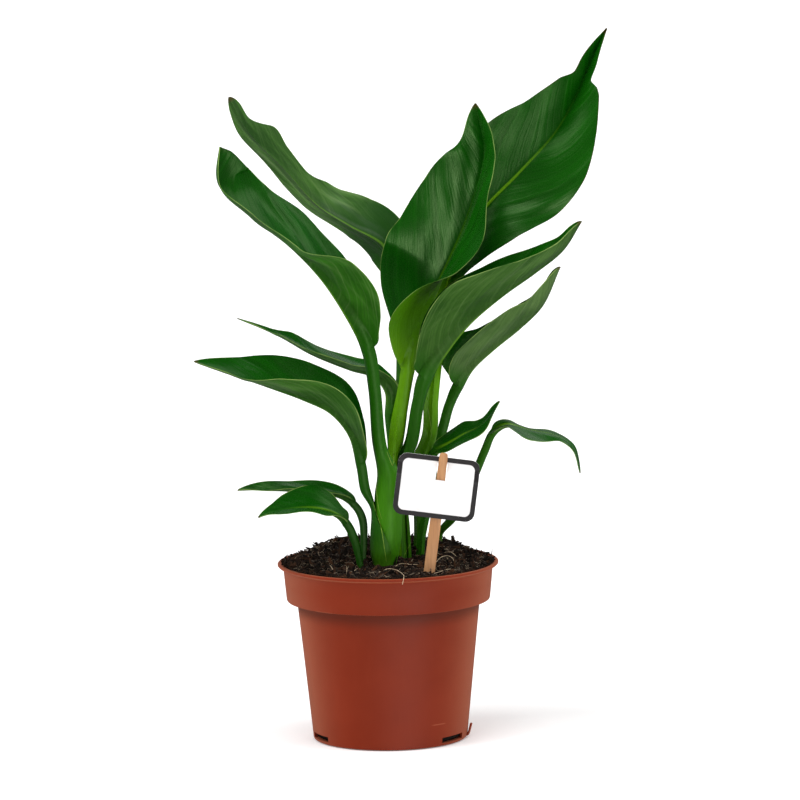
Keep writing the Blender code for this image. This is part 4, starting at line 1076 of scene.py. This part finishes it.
def build_fibres(rng):
    """Fibres, bits of stem and pale roots in the peat."""
    vertices, faces, shades, base = [], [], [], 0

    def add(points, radii, sides, shade):
        nonlocal base
        made, quads = tube(points, radii, sides)
        vertices.append(made)
        faces.extend([tuple(i + base for i in f) for f in quads])
        shades.append(np.full(len(made), shade))
        base += len(made)

    for k in range(THREAD_COUNT):
        r = 55 * math.sqrt(rng.random())
        angle = rng.random() * 2 * math.pi
        x, y = r * math.cos(angle), r * math.sin(angle)
        heading = rng.random() * 2 * math.pi
        length = 2 + 7 * rng.random()**2
        stand = 0.55 * rng.random()**4
        curl = rng.normal(0, 0.22)
        points = []
        for j in range(7):
            z = soil_height(x, y) + 0.3 + 0.9 * math.sin(math.pi * j / 6) * rng.random() + stand * j * length / 9
            points.append((x, y, z))
            heading += curl
            x += math.cos(heading) * length / 6
            y += math.sin(heading) * length / 6
            far = math.hypot(x, y)
            if far > 57:
                x, y = x * 57 / far, y * 57 / far
        thick = 0.06 + 0.15 * rng.random()**2
        add(points, np.linspace(thick, thick * 0.45, 7), 4, 0.75 * rng.random()**2.5)
    for k in range(150):
        r = 52 * math.sqrt(rng.random())
        angle = rng.random() * 2 * math.pi
        x, y = r * math.cos(angle), r * math.sin(angle)
        heading = rng.random() * 2 * math.pi
        length = 2 + 4.5 * rng.random()
        lift = rng.normal(0.25, 0.35)
        z = soil_height(x, y) + 0.6
        step = np.array([math.cos(heading), math.sin(heading), lift])
        step /= np.linalg.norm(step)
        points = [np.array([x, y, z]) + step * length * t for t in (-0.5, -0.15, 0.2, 0.5)]
        thick = 0.22 + 0.3 * rng.random()
        add(points, np.array([0.7, 1, 0.9, 0.6]) * thick, 6, 0.3 * rng.random()**2)
    for (x, y), (lean_x, lean_y), length, thick in TWIGS:
        foot = np.array([x, y, min(soil_height(x, y), RIM_Z + 8) - 0.5])
        step = np.array([lean_x, lean_y, 1.0])
        step /= np.linalg.norm(step)
        points = [foot + step * length * t for t in (0, 0.35, 0.7, 1)]
        points[2] = points[2] + (0.3 * lean_x + 0.1, 0, 0)
        add(points, np.array([1, 0.9, 0.8, 0.45]) * thick, 6, 0.03)
    for root in PALE_ROOTS:
        keys = np.array([(x, y, max(soil_height(x, y), RIM_Z - 1.2) + h + 0.7) for x, y, h in root], float)
        fine, far, at = smooth_path(keys, 6)
        add(fine, 0.15 + 0.03 * np.sin(np.arange(len(fine))), 6, 1.0)
    obj = add_mesh("soil_fibres", np.concatenate(vertices) * MM, faces, fibre_material(), sharp=None)
    made = obj.data.attributes.new("shade", "FLOAT", "POINT")
    made.data.foreach_set("value", np.concatenate(shades))
    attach(obj, "root")


def build_sheath_lines(leaves):
    """Thin pale margins where one leaf base wraps another, laid on the surfaces behind their points."""
    shapes = [BVHTree.FromPolygons([v.co for v in leaf.data.vertices], [tuple(p.vertices) for p in leaf.data.polygons])
              for leaf in leaves]
    vertices, faces = [], []
    for line in SHEATH_LINES:
        keys = np.array([(x, 0.0, z) for x, z in line], float)
        fine, far, at = smooth_path(keys, 6)
        made = []
        for x, y, z in fine:
            hits = [shape.ray_cast(Vector((x * MM, -0.08, z * MM)), Vector((0, 1, 0))) for shape in shapes]
            near = [hit for hit in hits if hit[0] is not None and hit[0].y < 0.03]
            if near:
                hit = min(near, key=lambda found: found[0].y)
                made.append(np.array(hit[0]) / MM)
        if len(made) < 4:
            continue
        ends = np.sin(np.linspace(0.25, math.pi - 0.25, len(made)))
        ring, quads = tube(made, 0.17 * ends + 0.03, 6)
        faces.extend([tuple(i + len(vertices) for i in face) for face in quads])
        vertices.extend(ring.tolist())
    lines = add_mesh("sheath_lines", np.array(vertices) * MM, faces, sheath_material(), sharp=None)
    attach(lines, "root")


# Label


def label_points(points):
    turn = Matrix.Rotation(math.radians(LABEL_LEAN), 3, "Y")
    origin = Vector((LABEL_SLOT[0], LABEL_Y, LABEL_SLOT[1]))
    return [(origin + turn @ Vector(p)) * MM for p in points]


def build_stick():
    half, thick = STICK_SIZE[0] / 2, STICK_SIZE[1] / 2
    levels = list(np.linspace(-STICK_DOWN, STICK_UP - 1.4, 60))
    levels += [STICK_UP - 1.4 + 1.4 * math.sin(math.radians(a)) for a in (20, 40, 60, 75, 90)]
    corner = 0.28
    vertices = []
    for z in levels:
        into = max(0, z - (STICK_UP - 1.4)) / 1.4
        wide = half - 0.75 * np.clip((z + 22) / 24, 0, 1) - 1.4 * (1 - math.sqrt(max(0, 1 - into**2)))
        wide += 0.06 * noise.noise(Vector((3.1, 0, z * 0.35)))
        bow = 0.05 * math.sin(z * 0.05)
        for sx, sy, start in ((1, -1, -90), (1, 1, 0), (-1, 1, 90), (-1, -1, 180)):
            for step in (0, 30, 60, 90):
                a = math.radians(start + step)
                vertices.append((sx * (wide - corner) + corner * math.cos(a), sy * (thick - corner) + bow
                                 + corner * math.sin(a), z))
    faces = []
    ring = 16
    for i in range(len(levels) - 1):
        for k in range(ring):
            n = (k + 1) % ring
            faces.append((i * ring + k, i * ring + n, (i + 1) * ring + n, (i + 1) * ring + k))
    faces.append(tuple(range(ring))[::-1])
    faces.append(tuple(range((len(levels) - 1) * ring, len(levels) * ring)))
    stick = add_mesh("label_stick_piece", label_points(vertices), faces, wood_material(), sharp=50)
    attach(stick, "root")
    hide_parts("label_stick")


def card_set_back(z):
    """Depth of the card's middle: before the stick below the slot and behind it above."""
    t = min(max(z / CARD_BEND + 0.5, 0), 1)
    return -CARD_STEP / 2 + CARD_STEP * t * t * (3 - 2 * t)


def rounded_outline(width, low, high, corner, per_corner=9):
    outline = []
    for cx, cz, start in (
        (width / 2 - corner, high - corner, 0), (corner - width / 2, high - corner, 90),
        (corner - width / 2, low + corner, 180), (width / 2 - corner, low + corner, 270),
    ):
        for step in range(per_corner):
            a = math.radians(start + 90 * step / (per_corner - 1))
            outline.append((cx + corner * math.cos(a), cz + corner * math.sin(a)))
    return outline


def card_sheet(name, outer, inner, thick, front, material):
    """A thin bent sheet, or a frame where inner is given, its front face at depth front."""
    edit = bmesh.new()
    if inner:
        a = [edit.verts.new((x, 0, z)) for x, z in outer]
        b = [edit.verts.new((x, 0, z)) for x, z in inner]
        count = len(a)
        faces = [edit.faces.new((a[k], a[(k + 1) % count], b[(k + 1) % count], b[k])) for k in range(count)]
    else:
        faces = [edit.faces.new([edit.verts.new((x, 0, z)) for x, z in outer])]
    made = bmesh.ops.extrude_face_region(edit, geom=faces)["geom"]
    for vertex in [g for g in made if isinstance(g, bmesh.types.BMVert)]:
        vertex.co.y = thick
    for k in range(17):
        level = (0, 0, (k / 16 - 0.5) * CARD_BEND)
        geometry = edit.verts[:] + edit.edges[:] + edit.faces[:]
        bmesh.ops.bisect_plane(edit, geom=geometry, plane_co=level, plane_no=(0, 0, 1))
    for vertex in edit.verts:
        vertex.co.y += card_set_back(vertex.co.z) + front
        vertex.co.x += CARD_SIDE
    bmesh.ops.triangulate(edit, faces=[f for f in edit.faces if len(f.verts) > 4])
    edit.verts.index_update()
    points = label_points([v.co for v in edit.verts])
    polygons = [tuple(v.index for v in f.verts) for f in edit.faces]
    edit.free()
    return add_mesh(name, points, polygons, material, sharp=30)


def build_card():
    width, height = CARD_SIZE
    low, high = CARD_TOP - height, CARD_TOP
    outer = rounded_outline(width, low, high, CARD_CORNER)
    card = card_sheet("label_card_piece", outer, None, CARD_THICK - 0.12, -CARD_THICK / 2 + 0.12,
                      card_material("card_white", (246, 243, 242), (238, 236, 236)))
    ring_outer = rounded_outline(width, low, high, CARD_CORNER)
    ring_inner = rounded_outline(width - 5.2, low + 2.6, high - 2.6, CARD_CORNER - 1.9)
    border = card_sheet("label_card_border", ring_outer, ring_inner, 0.12, -CARD_THICK / 2,
                        card_material("card_dark", (34, 31, 32), (42, 39, 40)))
    turn = Matrix.Rotation(math.radians(LABEL_LEAN), 3, "Y")
    origin = Vector((LABEL_SLOT[0], LABEL_Y, LABEL_SLOT[1]))
    cut(card, "card_slot", *turned_box(origin, (CARD_SLOT[0], 20, CARD_SLOT[1]), turn))
    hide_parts("label_card")
    for piece in (card, border):
        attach(piece, "root")


# Stage


def build_stage():
    mesh = bpy.data.meshes.new("floor")
    mesh.from_pydata([(-14, -8, -0.0004), (14, -8, -0.0004), (14, 24, -0.0004), (-14, 24, -0.0004)], [], [(0, 1, 2, 3)])
    floor = bpy.data.objects.new("floor", mesh)
    bpy.context.scene.collection.objects.link(floor)
    n = Nodes("floor_pale", 0.9, Specular_IOR_Level=0.1, Emission_Color=(1, 1, 1, 1), Emission_Strength=0.1)
    where = n.add("TexCoord").outputs["Object"]
    n.out("Base Color", n.mix(n.noise(where, 3.0, 2), srgb(250, 250, 250), srgb(253, 253, 253)))
    mesh.materials.append(n.material)
    floor.visible_glossy = False
    floor.visible_shadow = False


def build_light():
    """White surroundings, one broad soft lamp from the upper left and a weaker one from the right."""
    world = bpy.data.worlds.new("studio")
    world.use_nodes = True
    tree = world.node_tree
    rays = tree.nodes.new("ShaderNodeLightPath")
    seen = tree.nodes.new("ShaderNodeMapRange")
    seen.inputs["To Min"].default_value = WORLD_LIGHT
    tree.links.new(rays.outputs["Is Camera Ray"], seen.inputs["Value"])
    dim = tree.nodes.new("ShaderNodeMath")
    dim.operation = "MULTIPLY_ADD"
    dim.inputs[1].default_value = -WORLD_LIGHT * 0.65
    tree.links.new(rays.outputs["Is Glossy Ray"], dim.inputs[0])
    tree.links.new(seen.outputs["Result"], dim.inputs[2])
    background = tree.nodes["Background"]
    background.inputs["Color"].default_value = (1, 1, 1, 1)
    tree.links.new(dim.outputs[0], background.inputs["Strength"])
    bpy.context.scene.world = world
    for name, toward, angle, strength in LAMPS + GLOSS_LAMPS:
        data = bpy.data.lights.new(name, "SUN")
        data.angle = math.radians(angle)
        data.energy = strength
        light = bpy.data.objects.new(name, data)
        light.rotation_euler = Vector(toward).to_track_quat("Z", "Y").to_euler()
        light.visible_diffuse = name in [lamp[0] for lamp in LAMPS]
        bpy.context.scene.collection.objects.link(light)


def build_camera():
    data = bpy.data.cameras.new("camera")
    data.lens = CAMERA_LENS
    data.sensor_width = 36
    data.clip_start, data.clip_end = 0.1, 100
    camera = bpy.data.objects.new("camera", data)
    aim = (Vector(CAMERA_AIM) - Vector(CAMERA_AT)).to_track_quat("-Z", "Y")
    camera.location = CAMERA_AT
    camera.rotation_mode = "QUATERNION"
    camera.rotation_quaternion = aim @ Matrix.Rotation(math.radians(-CAMERA_ROLL), 4, "Z").to_quaternion()
    bpy.context.scene.collection.objects.link(camera)
    bpy.context.scene.camera = camera


def main():
    rng = np.random.default_rng(SEED)
    build_camera()
    build_stage()
    build_light()
    bpy.context.scene.view_settings.view_transform = "Standard"
    leaves = []
    for name, leaf in LEAVES.items():
        leaves.append(build_leaf(name, leaf, leaf_material(name + "_surface", **LEAF_LOOKS.get(name, {}))))
    build_sheath_lines(leaves)
    build_pot()
    build_pot_tab(bpy.data.materials["pot_plastic_detail"])
    build_soil()
    build_crumbs(rng)
    build_fibres(rng)
    build_stick()
    build_card()


main()
